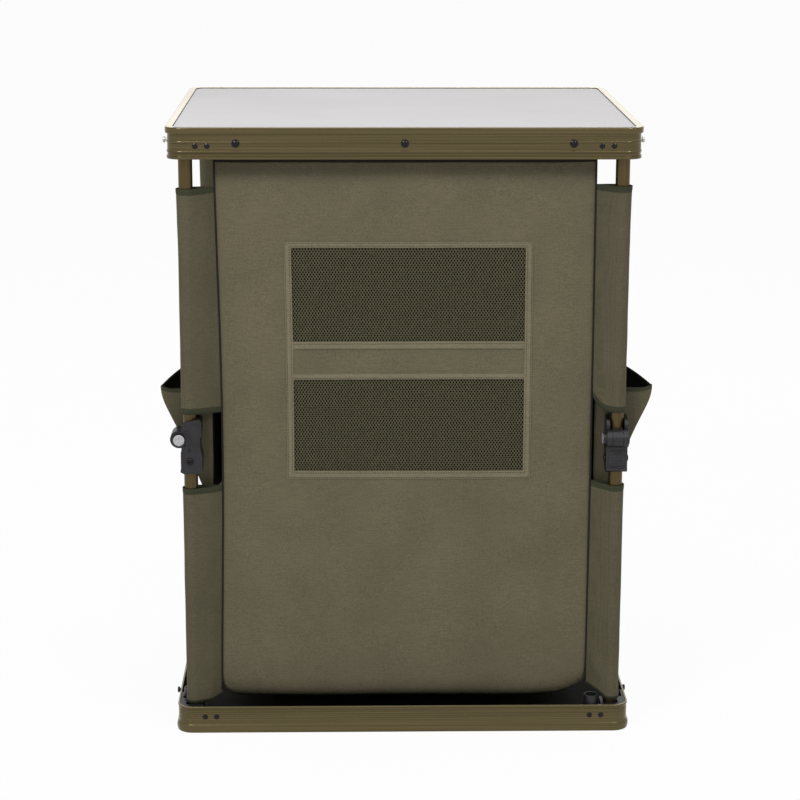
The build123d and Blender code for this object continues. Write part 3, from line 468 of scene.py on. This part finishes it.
def cutCloth(across, up, step, openings=()):
    bm = bmesh.new()
    columns = max(1, round((across[1] - across[0]) / step[0]))
    rows = max(1, round((up[1] - up[0]) / step[1]))
    bmesh.ops.create_grid(bm, x_segments=columns, y_segments=rows, size=0.5)
    bmesh.ops.scale(bm, vec=(across[1] - across[0], up[1] - up[0], 1), verts=bm.verts)
    bmesh.ops.translate(bm, vec=((across[0] + across[1]) / 2, (up[0] + up[1]) / 2, 0), verts=bm.verts)
    for opening in openings:
        cutBox(bm, opening)
        left, right, bottom, top = opening
        doomed = []
        for face in bm.faces:
            middle = face.calc_center_median()
            if left < middle.x < right and bottom < middle.y < top:
                doomed.append(face)
        bmesh.ops.delete(bm, geom=doomed, context="FACES")
    return bm


def hangCloth(
    name, bm, place, cloths, body, thickness, slotName, paint=None, closed=False, flip=False, lining=None,
):
    if paint:
        for face in bm.faces:
            face.material_index = paint(face.calc_center_median())
    for point in bm.verts:
        point.co = place(point.co.x, point.co.y)
    if closed:
        bmesh.ops.remove_doubles(bm, verts=bm.verts, dist=0.05)
    if flip:
        bmesh.ops.reverse_faces(bm, faces=bm.faces)
    piece = makePiece(name, bm, cloths + ([lining] if lining else []), body, 60, slotName)
    wall = piece.modifiers.new("clothThickness", "SOLIDIFY")
    wall.thickness = thickness * toMetres
    wall.offset = -1.0
    wall.material_offset = len(cloths) if lining else 0
    return piece


def crease(x, y, z, size, seed):
    # Smooth noise from -1 to 1, whose waves are about size millimetres long
    return noise.noise(Vector((x / size, y / size + seed * 7.3, z / size)))


def foldsDown(piece):
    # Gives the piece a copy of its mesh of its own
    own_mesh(piece)


bodySet = {
    "halfWidth": 241.0,  # of the front and rear panels, laid flat
    "halfSide": 212.5,  # of the side panels, laid flat
    "halfDepth": 214.0,
    "thickness": 1.2,
    "hem": 34.0,
    "hemTurn": 26.0,  # height over which the lower edge turns in under the body
    "hemTuck": 14.0,
    "cornerRise": {-1: (13.0, 26), 1: (23.0, 13)},  # how far the hem climbs at each seam, and how sharply
    "seams": {-1: (240.3, -5.5), 1: (243.2, 0.8)},  # half width at a seam's ends, and its change at the waist
    "waist": (40.0, 760.0),
    "belly": 4.0,
    "sideBelly": 3.0,
    "shadowStripFoot": 752.0,  # lower edge of the near-black strip under the top frame: painted shadow of the frame
}
bodyHalf, bodyDeep = bodySet["halfWidth"], bodySet["halfDepth"]


def bodyEdge(side, height):
    # Half width of the body at a height: the left seam is drawn in, the right one hangs straighter
    low, high = bodySet["waist"]
    drawn = math.sin(math.pi * min(max((height - low) / (high - low), 0), 1)) ** 1.5
    edge, change = bodySet["seams"][side]
    return edge + change * drawn


def hangBody(name, node, bm, place, cloths=(bodyCloth,), body="base", **options):
    # A panel of the body; its inner face takes the near-black lining, painted shade for the dark inside
    thickness = bodySet["thickness"]
    options["lining"] = shadeBlackLining
    piece = hangCloth(name, bm, place, list(cloths), body, thickness, "body_fabric", **options)
    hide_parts(node)
    return piece


def hangHeight(up, nearEdge, side):
    # Height of a point of a body panel, and how far the turned hem draws it inwards there
    rise, power = bodySet["cornerRise"][side]
    hem = bodySet["hem"] + rise * nearEdge ** power
    share = (up - bodySet["hem"]) / (cupboard["fabricTop"] - bodySet["hem"])
    height = hem + (cupboard["fabricTop"] - hem) * share
    low = max(0.0, 1 - (height - hem) / bodySet["hemTurn"])
    tuck = bodySet["hemTuck"] * (1 - math.sqrt(max(0.0, 1 - low * low)))
    return height, tuck, share


def swelling(share, nearEdge, belly):
    # How far a panel swells between its edges
    return math.sin(math.pi * share) ** 0.7 * (1 - nearEdge ** 4) * belly if 0 < share < 1 else 0


def frontPlace(out):
    def place(across, up):
        side = -1 if across < 0 else 1
        nearEdge = abs(across) / bodyHalf
        height, tuck, share = hangHeight(up, nearEdge, side)
        ripple = 2.4 * crease(across, 0, up, 130, 1) + 0.9 * crease(across * 1.6, 0, up, 42, 2)
        # Soft folds that run from the corners of the windows to the hem
        ripple += 2.2 * crease(across * 0.6 + up * 0.5, 0, up * 0.4, 60, 21) * (1 - share)
        ripple *= 1 - nearEdge ** 8
        forward = bodyDeep + swelling(share, nearEdge, bodySet["belly"]) + ripple - tuck + out
        return Vector((across * bodyEdge(side, height) / bodyHalf, -forward, height))
    return place


windowSet = {
    "centre": 4.0, "halfWidth": 149.5, "upper": (521.0, 643.5), "lower": (349.5, 472.0),
    "tapeSide": 9.5, "tapeTop": 7.5, "tapeFoot": 10.5, "bandHems": ((511.0, 521.4), (471.6, 480.4)),
    "outerStitch": 1.5, "innerStitch": 2.4,  # from the tape's outer edge, and from the openings
    "bandStitches": (518.6, 511.8, 479.6, 473.6),
    "holeAcross": 3.85, "holeUp": 5.9, "yarn": 0.56, "holeRound": 0.45, "netMargin": 3.0,
}
windowLeft, windowRight = (windowSet["centre"] + way * windowSet["halfWidth"] for way in (-1, 1))
openings = [(windowLeft, windowRight, *windowSet[level]) for level in ("upper", "lower")]
fullAcross = (-bodyHalf, bodyHalf)
fullUp = (bodySet["hem"], cupboard["fabricTop"])
bm = cutCloth(fullAcross, fullUp, (6, 7), openings)
cutAlong(bm, (0, bodySet["shadowStripFoot"], 0), (0, 1, 0))
# The strip above that edge takes the near-black piping colour: painted shadow under the top frame
ventPanel = hangBody(
    "ventPanel", "vent_panel", bm, frontPlace(0), (bodyCloth, pipingShadowBlack),
    paint=lambda middle: int(middle.y > bodySet["shadowStripFoot"]),
)


# One frame of woven tape round both windows, with the turned hems of the band that parts them
def sewnTape(name, bm, out):
    piece = hangCloth(name, bm, frontPlace(out), [tapeCloth], "base", 1.1, "body_fabric")
    edge = piece.modifiers.new("tapeEdge", "BEVEL")
    edge.width = 0.3 * toMetres
    edge.limit_method = "ANGLE"
    return piece


tapeBox = (
    windowLeft - windowSet["tapeSide"], windowRight + windowSet["tapeSide"],
    windowSet["lower"][0] - windowSet["tapeFoot"], windowSet["upper"][1] + windowSet["tapeTop"],
)
inside = (windowLeft, windowRight, windowSet["lower"][0], windowSet["upper"][1])
tapes = [sewnTape("windowTape", cutCloth(tapeBox[:2], tapeBox[2:], (4.7, 4.7), [inside]), 1.0)]
for i, hem in enumerate(windowSet["bandHems"]):
    tapes.append(sewnTape(f"bandHem_{i}", cutCloth((windowLeft - 1, windowRight + 1), hem, (6, 3)), 0.8))


def stitchRow(bm, start, end, place, pitch=3.3, length=2.6, width=0.8):
    run = Vector(end) - Vector(start)
    count = max(1, int(run.length / pitch))
    for i in range(count):
        share = (i + 0.5) / count
        middle = Vector(start) + run * share
        here = place(middle.x, middle.y)
        ahead = place(*(middle + run.normalized() * 0.5)) - here
        turn = ahead.to_track_quat("X", "Z").to_matrix().to_4x4()
        shape = turn @ Matrix.Diagonal((length / 2, width / 2, width / 2, 1))
        bmesh.ops.create_icosphere(bm, subdivisions=1, radius=1.0, matrix=Matrix.Translation(here) @ shape)


def stitchBox(bm, box, gap, place):
    left, right, bottom, top = box[0] + gap, box[1] - gap, box[2] + gap, box[3] - gap
    ring = ((left, bottom), (right, bottom), (right, top), (left, top), (left, bottom))
    for start, end in zip(ring, ring[1:]):
        stitchRow(bm, start, end, place)


bm = bmesh.new()
stitchBox(bm, tapeBox, windowSet["outerStitch"], frontPlace(1.2))
stitchBox(bm, inside, -windowSet["innerStitch"], frontPlace(1.2))
for height in windowSet["bandStitches"]:
    stitchRow(bm, (windowLeft, height), (windowRight, height), frontPlace(1.0))
windowStitches = makePiece("windowStitches", bm, [seamThread], "base", 180, "body_fabric")
print("front panel and window tapes hung")


def windowNet(name, opening):
    # Knitted spacer net: diamond holes in staggered rows, one face per mesh, opened by an inset
    left, right, bottom, top = opening
    margin = windowSet["netMargin"]
    columns = round((right - left + 2 * margin) / windowSet["holeAcross"])
    rows = round((top - bottom + 2 * margin) / windowSet["holeUp"])
    count = columns + rows + 8
    bm = bmesh.new()
    bmesh.ops.create_grid(bm, x_segments=count, y_segments=count, size=count / 2)
    bmesh.ops.rotate(bm, cent=(0, 0, 0), matrix=Matrix.Rotation(math.pi / 4, 3, "Z"), verts=bm.verts)
    stretch = (windowSet["holeAcross"] / math.sqrt(2), windowSet["holeUp"] / math.sqrt(2), 1)
    bmesh.ops.scale(bm, vec=stretch, verts=bm.verts)
    bmesh.ops.translate(bm, vec=((left + right) / 2, (bottom + top) / 2, 0), verts=bm.verts)
    cutBox(bm, (left - margin, right + margin, bottom - margin, top + margin), 0.001, outer=True)
    inner = [face for face in bm.faces if len(face.verts) == 4 and face.calc_area() > 10]  # whole diamonds
    bmesh.ops.inset_individual(bm, faces=inner, thickness=windowSet["yarn"], use_even_offset=True)
    points = list({point for face in inner for point in face.verts})
    roundOff(bm, points, windowSet["holeRound"], 1, "VERTICES")
    holes = [face for face in bm.faces if len(face.verts) == 8]
    bmesh.ops.delete(bm, geom=holes, context="FACES")
    return hangCloth(name, bm, frontPlace(-1.0), [netYarn], "base", 0.45, "window_net")


nets = [windowNet(f"windowNet_{i}", opening) for i, opening in enumerate(openings)]
for net in nets:
    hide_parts("window_nets")
print("window nets knitted")


def sidePlace(side):
    def place(across, up):
        nearEdge = abs(across) / bodySet["halfSide"]
        height, tuck, share = hangHeight(up, nearEdge, side)
        ripple = 1.0 * crease(0, across, up, 120, 3) + 0.4 * crease(0, across, up, 40, 4)
        ripple *= 1 - nearEdge ** 8
        swell = swelling(share, nearEdge, bodySet["sideBelly"])
        return Vector((side * (bodyEdge(side, height) - 1 + swell + ripple - tuck), across, height))
    return place


sidePanels = {}
for name, side in (("left", -1), ("right", 1)):
    bm = cutCloth((-bodySet["halfSide"], bodySet["halfSide"]), fullUp, (8, 8))
    sidePanels[name] = hangBody(f"sidePanel_{name}", f"side_panel_{name}", bm, sidePlace(side), flip=side < 0)


doorSet = {"halfWidth": 190.0, "bottom": 92.0, "top": 738.0, "overlap": 10.0}


def rearPlace(out):
    def place(across, up):
        side = -1 if across < 0 else 1
        nearEdge = abs(across) / bodyHalf
        height, tuck, _ = hangHeight(up, nearEdge, side)
        ripple = 0.5 * crease(across, 0, up, 110, 5) * (1 - nearEdge ** 8)
        x = across * bodyEdge(side, height) / bodyHalf
        return Vector((x, bodyDeep + ripple - tuck + out, height))
    return place


doorway = (-doorSet["halfWidth"], doorSet["halfWidth"], doorSet["bottom"], doorSet["top"])
bm = cutCloth(fullAcross, fullUp, (8, 8), [doorway])
rearPanel = hangBody("rearPanel", "rear_panel", bm, rearPlace(0), flip=True)

flapHalf = doorSet["halfWidth"] + doorSet["overlap"]
flapUp = (doorSet["bottom"] - doorSet["overlap"], doorSet["top"] + doorSet["overlap"])


def flapPlace(out):
    def place(across, up):
        share = (up - flapUp[0]) / (flapUp[1] - flapUp[0])
        nearEdge = min(1.0, abs(across) / flapHalf)
        inside = max(0.0, math.sin(math.pi * min(max(share, 0), 1)))
        swell = inside ** 0.6 * (1 - nearEdge ** 4) * 4.0
        ripple = (1.2 * crease(across, 3, up, 120, 6) + 0.5 * crease(across, 3, up, 45, 7)) * inside ** 0.3
        ripple *= 1 - nearEdge ** 6
        return Vector((across, bodyDeep + bodySet["thickness"] + swell + ripple + out, up))
    return place


bm = cutCloth((-flapHalf, flapHalf), flapUp, (8, 8))
doorFlap = hangBody("doorFlap", "door_flap", bm, flapPlace(0.6), body="door", flip=True)
print("side panels, rear panel and door hung")


# Zip round the door: woven tape, two rows of teeth that mesh, and the two sliders with their pulls
zipSet = {
    "line": 2.3,  # from the flap's edge to the middle of the teeth
    "pitch": 3.0, "tooth": (2.0, 1.4, 2.0), "overlap": 0.8, "toothLean": 0.55, "toothOut": 1.3,
    "tape": (-8.0, 6.5), "tapeOut": 0.7,
    "pullSpread": 12.0, "pullOut": 3.0,
    "slider": (8.5, 2.6, 7.0), "tag": (6.0, 1.6, 24.0), "tagHang": (0, 2.1, -11.0),
}
zipHalf, zipLow = flapHalf + zipSet["line"], flapUp[0] - zipSet["line"]
zipPath = ((-zipHalf, flapUp[1]), (-zipHalf, zipLow), (zipHalf, zipLow), (zipHalf, flapUp[1]))
bm = bmesh.new()
for (startX, startZ), (endX, endZ) in zip(zipPath, zipPath[1:]):
    run = Vector((endX - startX, 0, endZ - startZ))
    across = Vector((-run.normalized().z, 0, run.normalized().x))
    size = Vector(zipSet["tooth"]) + Vector((abs(across.x), 0, abs(across.z))) * zipSet["overlap"]
    count = int(run.length / zipSet["pitch"])
    for i in range(count):
        lean = zipSet["toothLean"] * (1 if i % 2 else -1)  # each tooth sits to its own side of the middle line
        at = Vector((startX, 0, startZ)) + run * ((i + 0.5) / count) + across * lean
        at.y = bodyDeep + zipSet["toothOut"]
        bmesh.ops.create_cube(bm, size=1.0, matrix=Matrix.Translation(at) @ Matrix.Diagonal((*size, 1)))
zipTeeth = makePiece("zipTeeth", bm, [toothPlastic], "base", 30, "zip_tape")

zipSide, zipFoot = flapUp[1] - flapUp[0], 2 * flapHalf


def zipTapePlace(across, up):
    # across runs along the zip's path, up is the place over its width
    offset = zipSet["line"] + up
    x, z = -flapHalf - offset, flapUp[0] - offset
    if across < zipSide:
        z = flapUp[1] - across - offset * across / zipSide
    elif across < zipSide + zipFoot:
        x *= 1 - 2 * (across - zipSide) / zipFoot
    else:
        x = -x
        z += (across - zipSide - zipFoot) / zipSide * (zipSide + offset)
    return Vector((x, bodyDeep + zipSet["tapeOut"], z))


bm = cutCloth((0, 2 * zipSide + zipFoot), zipSet["tape"], (10, 4.9))
for cut in (zipSide, zipSide + zipFoot):
    cutAlong(bm, (cut, 0, 0), (1, 0, 0))
zipTape = hangCloth("zipTape", bm, zipTapePlace, [hemCloth], "base", 0.7, "zip_tape", flip=True)
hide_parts("door_zip")

bm = bmesh.new()
for way in (-1, 1):
    slider = Vector((way * zipSet["pullSpread"], bodyDeep + zipSet["pullOut"], zipLow))
    tag = slider + Vector(zipSet["tagHang"])
    for at, size, rounding, segments in ((slider, zipSet["slider"], 1.0, 3), (tag, zipSet["tag"], 0.6, 2)):
        matrix = Matrix.Translation(at) @ Matrix.Diagonal((*size, 1))
        made = bmesh.ops.create_cube(bm, size=1.0, matrix=matrix)["verts"]
        roundOff(bm, list({edge for point in made for edge in point.link_edges}), rounding, segments)
zipPulls = makePiece("zipPulls", bm, [blackSteel], "door", 35, "black_steel")
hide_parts("zip_pulls")
print("zip made")


def sweepCord(bm, points, radius, sides=8):
    first = points[1] - points[0]
    turn = first.to_track_quat("Z", "Y").to_matrix().to_4x4()
    made = bmesh.ops.create_circle(
        bm, segments=sides, radius=radius, cap_ends=True, matrix=Matrix.Translation(points[0]) @ turn
    )["verts"]
    ring = list({edge for point in made for edge in point.link_edges})
    lastWay = first
    for i, point in enumerate(points[1:], 1):
        grown = bmesh.ops.extrude_edge_only(bm, edges=ring)["geom"]
        moved = onlyOf(bmesh.types.BMVert, grown)
        ring = onlyOf(bmesh.types.BMEdge, grown)
        bmesh.ops.translate(bm, vec=point - points[i - 1], verts=moved)
        nextWay = points[i + 1] - point if i + 1 < len(points) else lastWay
        swing = lastWay.rotation_difference(nextWay).to_matrix()
        bmesh.ops.rotate(bm, cent=point, matrix=swing, verts=moved)
        lastWay = nextWay
    bmesh.ops.contextual_create(bm, geom=ring)


# Dark piping down the four corner seams of the body, nearly black as painted shadow in each seam's gap
pipingSet = {"radius": 1.25, "steps": 60, "aboveHem": 1.5, "belowTop": 2.0}
pipings = []
for corner, (sideX, sideY, _) in corners.items():
    bm = bmesh.new()
    points = []
    foot = bodySet["hem"] + bodySet["cornerRise"][sideX][0] + pipingSet["aboveHem"]
    for i in range(pipingSet["steps"] + 1):
        height = foot + (cupboard["fabricTop"] - pipingSet["belowTop"] - foot) * i / pipingSet["steps"]
        x = bodyEdge(sideX, height) + 0.24 * crease(sideX * 30, sideY * 30, height, 60, 8)
        points.append(Vector((sideX * x, sideY * (bodyDeep + 0.1), height)))
    sweepCord(bm, points, pipingSet["radius"])
    bmesh.ops.recalc_face_normals(bm, faces=bm.faces)
    pipings.append(makePiece(f"cornerPiping_{corner}", bm, [pipingShadowBlack], "base", 180, "body_fabric"))


# Moulded strengthening ribs on the outer face of each knuckle: an arc round the pin, and a slanting one below
ribSet = {
    "face": 13.9, "pinX": -13.75, "radius": 15.5, "thick": 1.1,
    "arc": (75, -25), "arcSteps": 16,
    "slant": ((-6.5, 390.5), (0.5, 381.5)),
}
for corner, (sideX, sideY, turn) in corners.items():
    swing = Matrix.Rotation(math.radians(turn), 4, "Z")
    middle = legMiddle(sideX, sideY)
    arc = []
    for i in range(ribSet["arcSteps"] + 1):
        angle = math.radians(ribSet["arc"][0] + (ribSet["arc"][1] - ribSet["arc"][0]) * i / ribSet["arcSteps"])
        across = ribSet["pinX"] + ribSet["radius"] * math.cos(angle)
        arc.append((across, cupboard["kneeHeight"] + ribSet["radius"] * math.sin(angle)))
    bm = bmesh.new()
    for run in (arc, ribSet["slant"]):
        sweepCord(bm, [middle + swing @ Vector((x, -ribSet["face"], z)) for x, z in run], ribSet["thick"])
    bmesh.ops.recalc_face_normals(bm, faces=bm.faces)
    makePiece(f"knuckleRibs_{corner}", bm, [nylon], f"lower_leg_{corner}", 180, "black_nylon")
print("piping and ribs swept")


# Sleeves: cloth that runs from the corner seam round each leg half and back, over a close lining
sleeveSet = {
    "radius": 11.0, "innerRadius": 9.75, "binding": 8.0, "thickness": 1.0, "seamBack": 0.5,
    "liningShort": 2.0,  # how far the lining stops short of each edge of its sleeve
    "flatAround": {-1: 0.116, 1: 0.108},  # width of the cloth laid flat, in metres
    "lowFold": 14.0,  # the lower sleeves gather under the folded legs
    "bunched": {"upper": 0.28, "lower": 0.45},  # share of the height with slanting wrinkles
    # Height of each edge at the leg, how far it climbs to the body's seam, and how early it climbs
    "left": {"upper": ((430.0, -2.0, 1.0), (721.0, 1.0)), "lower": ((37.0, 3.6, 1.6), (331.0, -1.0))},
    "right": {"upper": ((431.0, 18.0, 1.8), (724.5, 0.0)), "lower": ((39.5, 15.0, 0.65), (333.5, 2.0))},
}


def sleeveEnds(level, seam, hand):
    (foot, climb, early), (top, topClimb) = sleeveSet[hand][level]
    return foot + climb * seam ** early, top + topClimb * seam


def edgeFlare(level, share):
    # The bindings stand a little proud, and the top of the upper sleeve is loose on the tube
    flare = 0.5 if share < 0.03 or share > 0.975 else 0.0
    return flare + (1.3 * max(0.0, share - 0.72) / 0.28 if level == "upper" else 0.0)


def ringPlace(level, sideX, sideY, hand):
    # The close inner sleeve that turns with the leg half
    centre = legMiddle(sideX, sideY)

    def place(angle, share):
        bottom, top = sleeveEnds(level, 0, hand)
        out = centre + Vector((math.cos(angle), math.sin(angle), 0)) * sleeveSet["innerRadius"]
        short = sleeveSet["liningShort"]
        return Vector((out.x, out.y, bottom + short + (top - bottom - 2 * short) * share))
    return place


def sleevePlace(level, sideX, sideY, hand):
    # The outer sleeve: from the body's corner seam, round the leg, and back to the seam
    centre = legMiddle(sideX, sideY)
    seamY = sideY * (bodyDeep - sleeveSet["seamBack"])

    def place(along, share):
        middle = sum(sleeveEnds(level, 0, hand)) / 2
        corner = Vector((sideX * bodyEdge(sideX, middle), seamY, 0))
        reach = sleeveSet["radius"] + edgeFlare(level, share)
        toSeam = corner - centre
        flatRun = math.sqrt(toSeam.length ** 2 - reach ** 2)
        spreadAngle = math.acos(reach / toSeam.length)
        arc = reach * 2 * (math.pi - spreadAngle)
        path = along * (2 * flatRun + arc)
        seam = 1 - min(path, 2 * flatRun + arc - path, flatRun) / flatRun
        bottom, top = sleeveEnds(level, seam, hand)
        height = bottom + (top - bottom) * share
        corner.x = sideX * bodyEdge(sideX, height)
        start = math.atan2(toSeam.y, toSeam.x) + spreadAngle
        turned = min(max((path - flatRun) / reach, 0.0), 2 * (math.pi - spreadAngle))
        way = Vector((math.cos(start + turned), math.sin(start + turned), 0))
        flat = (centre + way * reach).lerp(corner, seam)
        wave = 1.2 * crease(flat.x, flat.y, height, 55, 10) + 0.6 * crease(flat.x * 2, flat.y, height, 24, 12)
        bunched = sleeveSet["bunched"][level]
        if share < bunched:
            # Slanting wrinkles where the sleeve bunches towards its hem
            slant = (height * 0.62 + flat.x * 1.2) / 12
            wave += 4.5 * math.sin(slant) * crease(flat.x, 9, height, 40, 31) * (1 - share / bunched)
        bulge = math.sin(math.pi * seam) * (1.2 + wave)
        bulge += 0.3 * crease(flat.x * 2, flat.y * 2, height, 34, 9) * (1 - seam)
        return Vector((flat.x, flat.y, height)) + way * bulge
    return place


def bindingPaint(low, high):
    # Material 1 within these shares of the lower and upper edge
    return lambda middle: int(middle.y > 1 - high or middle.y < low)


for corner, (sideX, sideY, _) in corners.items():
    hand = "left" if sideX * -sideY < 0 else "right"  # as seen from outside the leg's own face
    for level, carrier in (("upper", f"upper_leg_{corner}"), ("lower", f"lower_leg_{corner}")):
        bottom, top = sleeveEnds(level, 0, hand)
        length = top - bottom
        band = sleeveSet["binding"] / length
        rows = round(length / 4)
        painted = bindingPaint(band if level == "upper" else band / 2, band)
        ring = hangCloth(
            f"{level}SleeveLining_{corner}", cutCloth((0, 2 * math.pi), (0, 1), (math.pi / 16, 1 / rows)),
            ringPlace(level, sideX, sideY, hand), [sleeveCloth, hemCloth], carrier, 0.6,
            "sleeve_fabric", paint=painted, closed=True,
        )
        sleeve = hangCloth(
            f"{level}Sleeve_{corner}", cutCloth((0, 1), (0, 1), (1 / 48, 1 / rows)),
            sleevePlace(level, sideX, sideY, hand), [sleeveCloth, hemCloth], "base", sleeveSet["thickness"],
            "sleeve_fabric", paint=painted,
        )
        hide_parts(f"leg_sleeves_{corner}")
        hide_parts(f"leg_sleeves_{corner}")
        foldsDown(sleeve)
print("sleeves sewn")


# Side pockets: open bags that swell away from the body, with a bound mouth
pocketSet = {
    "mouth": 462.0, "bottom": 320.0, "lipSag": 4.5, "binding": 6.0,
    "near": 207.0, "far": 12.0,  # along the body, from the front or rear corner to the middle
    "reach": 79.5, "foot": 20.0,  # how far the mouth and the lower edge stand off the body
    "gussetBack": 140.0, "gussetStep": {-1: 12.5, 1: 4.0},
    "slack": 20.0, "length": 350.0,  # spare cloth in the bag's face, and the whole bag laid flat
}


def pocketPlace(sideX, sideY):
    inner = pocketSet["near"] - pocketSet["gussetBack"]
    step = pocketSet["gussetStep"][sideX]
    gusset = pocketSet["reach"] - step
    bow = pocketSet["near"] - pocketSet["far"] + pocketSet["slack"]

    def place(along, up):
        # From the body forward to the corner, out over the gusset to the tip, and back along the bag's face
        share = min(max(up, 0.0), 1.0)
        below = 1 - share
        closing = 0.9 * below * (1 - math.exp(-((below / 0.2) ** 1.5)))
        opened = pocketSet["reach"] - (pocketSet["reach"] - pocketSet["foot"]) * closing
        path = along * (inner + gusset + bow)
        if path < inner:
            turn = path / inner
            out = step * turn
            y = pocketSet["gussetBack"] + inner * turn - 2.0 * (1 - turn) * turn
        elif path < inner + gusset:
            turn = (path - inner) / gusset
            out = step + (opened - step) * turn
            y = pocketSet["near"] - 2.0 * math.sin(math.pi * turn) * (1 - 0.6 * share)
        else:
            turn = (path - inner - gusset) / bow
            out = opened * (1 - turn) ** 0.33
            y = pocketSet["near"] + (pocketSet["far"] - pocketSet["near"]) * turn
        tip = min(1.0, abs(path - inner - gusset) / 12.0)
        out -= 1.5 * (1 - tip) ** 2
        drop = pocketSet["lipSag"] * tip * (1.0 if path < inner + gusset else 0.5) * share
        height = pocketSet["bottom"] + (pocketSet["mouth"] - pocketSet["bottom"]) * share - drop
        wave = 1.3 * crease(path, sideX * 9 + sideY * 31, height, 38, 13)
        wave *= math.sin(math.pi * along) * (1.1 - share) * min(1.0, out / 15)
        return Vector((sideX * (bodyEdge(sideX, height) + 0.8 + out + wave), sideY * y, height))
    return place


pockets = []
for name, sideX in (("left", -1), ("right", 1)):
    for sideY, end in ((-1, "front"), (1, "rear")):
        band = pocketSet["binding"] / (pocketSet["mouth"] - pocketSet["bottom"])
        # The bag's back wall takes the near-black lining: painted shade for the dark recess between pocket and
        # body
        shadeWallShare = (pocketSet["near"] - pocketSet["gussetBack"]) / pocketSet["length"]
        pocket = hangCloth(
            f"sidePocket_{name}_{end}", cutCloth((0, 1), (0, 1), (1 / 70, 1 / 26)), pocketPlace(sideX, sideY),
            [sleeveCloth, hemCloth], "base", 1.1, "sleeve_fabric",
            paint=lambda middle: 2 if middle.x < shadeWallShare else int(middle.y > 1 - band),
            flip=sideX * sideY > 0, lining=shadeBlackLining,
        )
        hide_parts(f"side_pockets_{name}")
        pockets.append(pocket)
print("pockets sewn")

bodySheets = [  # piece, flat size in metres, how it is held, what by, area less its openings, what goes with it
    (ventPanel, (0.482, 0.751), "hung", ["hem_angle_front"], 0.289, tapes + [windowStitches]),
    (nets[0], (0.305, 0.1285), "stretched", [ventPanel], 0.0300, []),
    (nets[1], (0.305, 0.1285), "stretched", [ventPanel], 0.0300, []),
    (sidePanels["left"], (0.425, 0.751), "hung", [ventPanel], None, []),
    (sidePanels["right"], (0.425, 0.751), "hung", [ventPanel], None, []),
    (rearPanel, (0.482, 0.751), "hung", ["hem_angle_rear"], 0.118, []),
    (zipTape, (0.0145, 1.732), "stretched", [rearPanel], None, [zipTeeth]),
]
for piece, flat, held, rests, area, going in bodySheets:
    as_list(rests)
    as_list(going)
for piece in [ventPanel, windowStitches] + tapes + nets:
    foldsDown(piece)
for piece in (rearPanel, zipTape, zipTeeth):
    foldsDown(piece)
for name, side in (("left", -1), ("right", 1)):
    foldsDown(sidePanels[name])
for piping, (sideX, sideY, _) in zip(pipings, corners.values()):
    foldsDown(piping)
for i, pocket in enumerate(pockets):
    side = -1 if i < 2 else 1
    foldsDown(pocket)
for piece in (doorFlap, zipPulls):  # these hang from the hinge at the door's upper edge
    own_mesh(piece)


# Studio: a pale floor, broad soft lamps, and a white surround for the camera and for reflections
lampSet = {  # place, aim and size in metres, and watts
    "keyLamp": ((-0.95, -1.7, 2.0), (0, 0, 0.8), (0.6, 0.6), 20),
    "fillLamp": ((1.0, -1.7, 1.9), (0, 0, 0.8), (0.5, 0.5), 10.5),
    "topLamp": ((0, -0.2, 3.6), (0, 0, 0.5), (2.4, 2.0), 30),
    "rearLamp": ((0.4, 2.6, 3.6), (0, 0, 0.5), (2.0, 1.2), 24),
}
studioSet = {"floorHalf": 60, "floorGlow": 0.95, "worldLight": 0.38}
for name, (place, aim, size, power) in lampSet.items():
    data = bpy.data.lights.new(name, "AREA")
    data.shape = "RECTANGLE"
    data.size, data.size_y = size
    data.energy = power
    lamp = bpy.data.objects.new(name, data)
    lamp.location = place
    lamp.rotation_euler = (Vector(aim) - Vector(place)).to_track_quat("-Z", "Y").to_euler()
    scene.collection.objects.link(lamp)


def seenRays(tree):
    # 1 for rays from the camera, off gloss and through glass, 0 for the light that falls on the object
    rays = addNode(tree, "LightPath").outputs
    seen = rays["Is Camera Ray"]
    for kind in ("Is Glossy Ray", "Is Transmission Ray"):
        seen = addNode(tree, "Math", {0: seen, 1: rays[kind]}, operation="MAXIMUM").outputs[0]
    return seen


floorMaterial, tree, shader, _, (grain,) = startMaterial("paleStudioFloor", {"Roughness": 0.9}, (3.0, 2.0))
finishSurface(tree, shader, grain, (0.3, 0.7), "#F4F4F4", "#FAFAFA")
glow = addNode(tree, "Emission", {"Color": (1, 1, 1, 1), "Strength": 1.0})
share = {0: seenRays(tree), 1: studioSet["floorGlow"]}
share = addNode(tree, "Math", share, operation="MULTIPLY").outputs[0]
blend = addNode(tree, "MixShader", {0: share, 1: shader.outputs[0], 2: glow.outputs[0]})
output = next(node for node in tree.nodes if node.type == "OUTPUT_MATERIAL")
tree.links.new(blend.outputs[0], output.inputs["Surface"])
bm = bmesh.new()
bmesh.ops.create_grid(bm, x_segments=1, y_segments=1, size=studioSet["floorHalf"])
mesh = bpy.data.meshes.new("studioFloor")
bm.to_mesh(mesh)
bm.free()
mesh.materials.append(floorMaterial)
floor = bpy.data.objects.new("studioFloor", mesh)
scene.collection.objects.link(floor)

world = bpy.data.worlds.new("studioWorld")
scene.world = world
world.use_nodes = True
tree = world.node_tree
tree.nodes.clear()
plain = addNode(tree, "Background", {"Color": (1, 1, 1, 1), "Strength": studioSet["worldLight"]})
white = addNode(tree, "Background", {"Color": (1, 1, 1, 1), "Strength": 1.0})
blend = addNode(tree, "MixShader", {0: seenRays(tree), 1: plain.outputs[0], 2: white.outputs[0]})
addNode(tree, "OutputWorld", {"Surface": blend.outputs[0]})
print("studio lit")
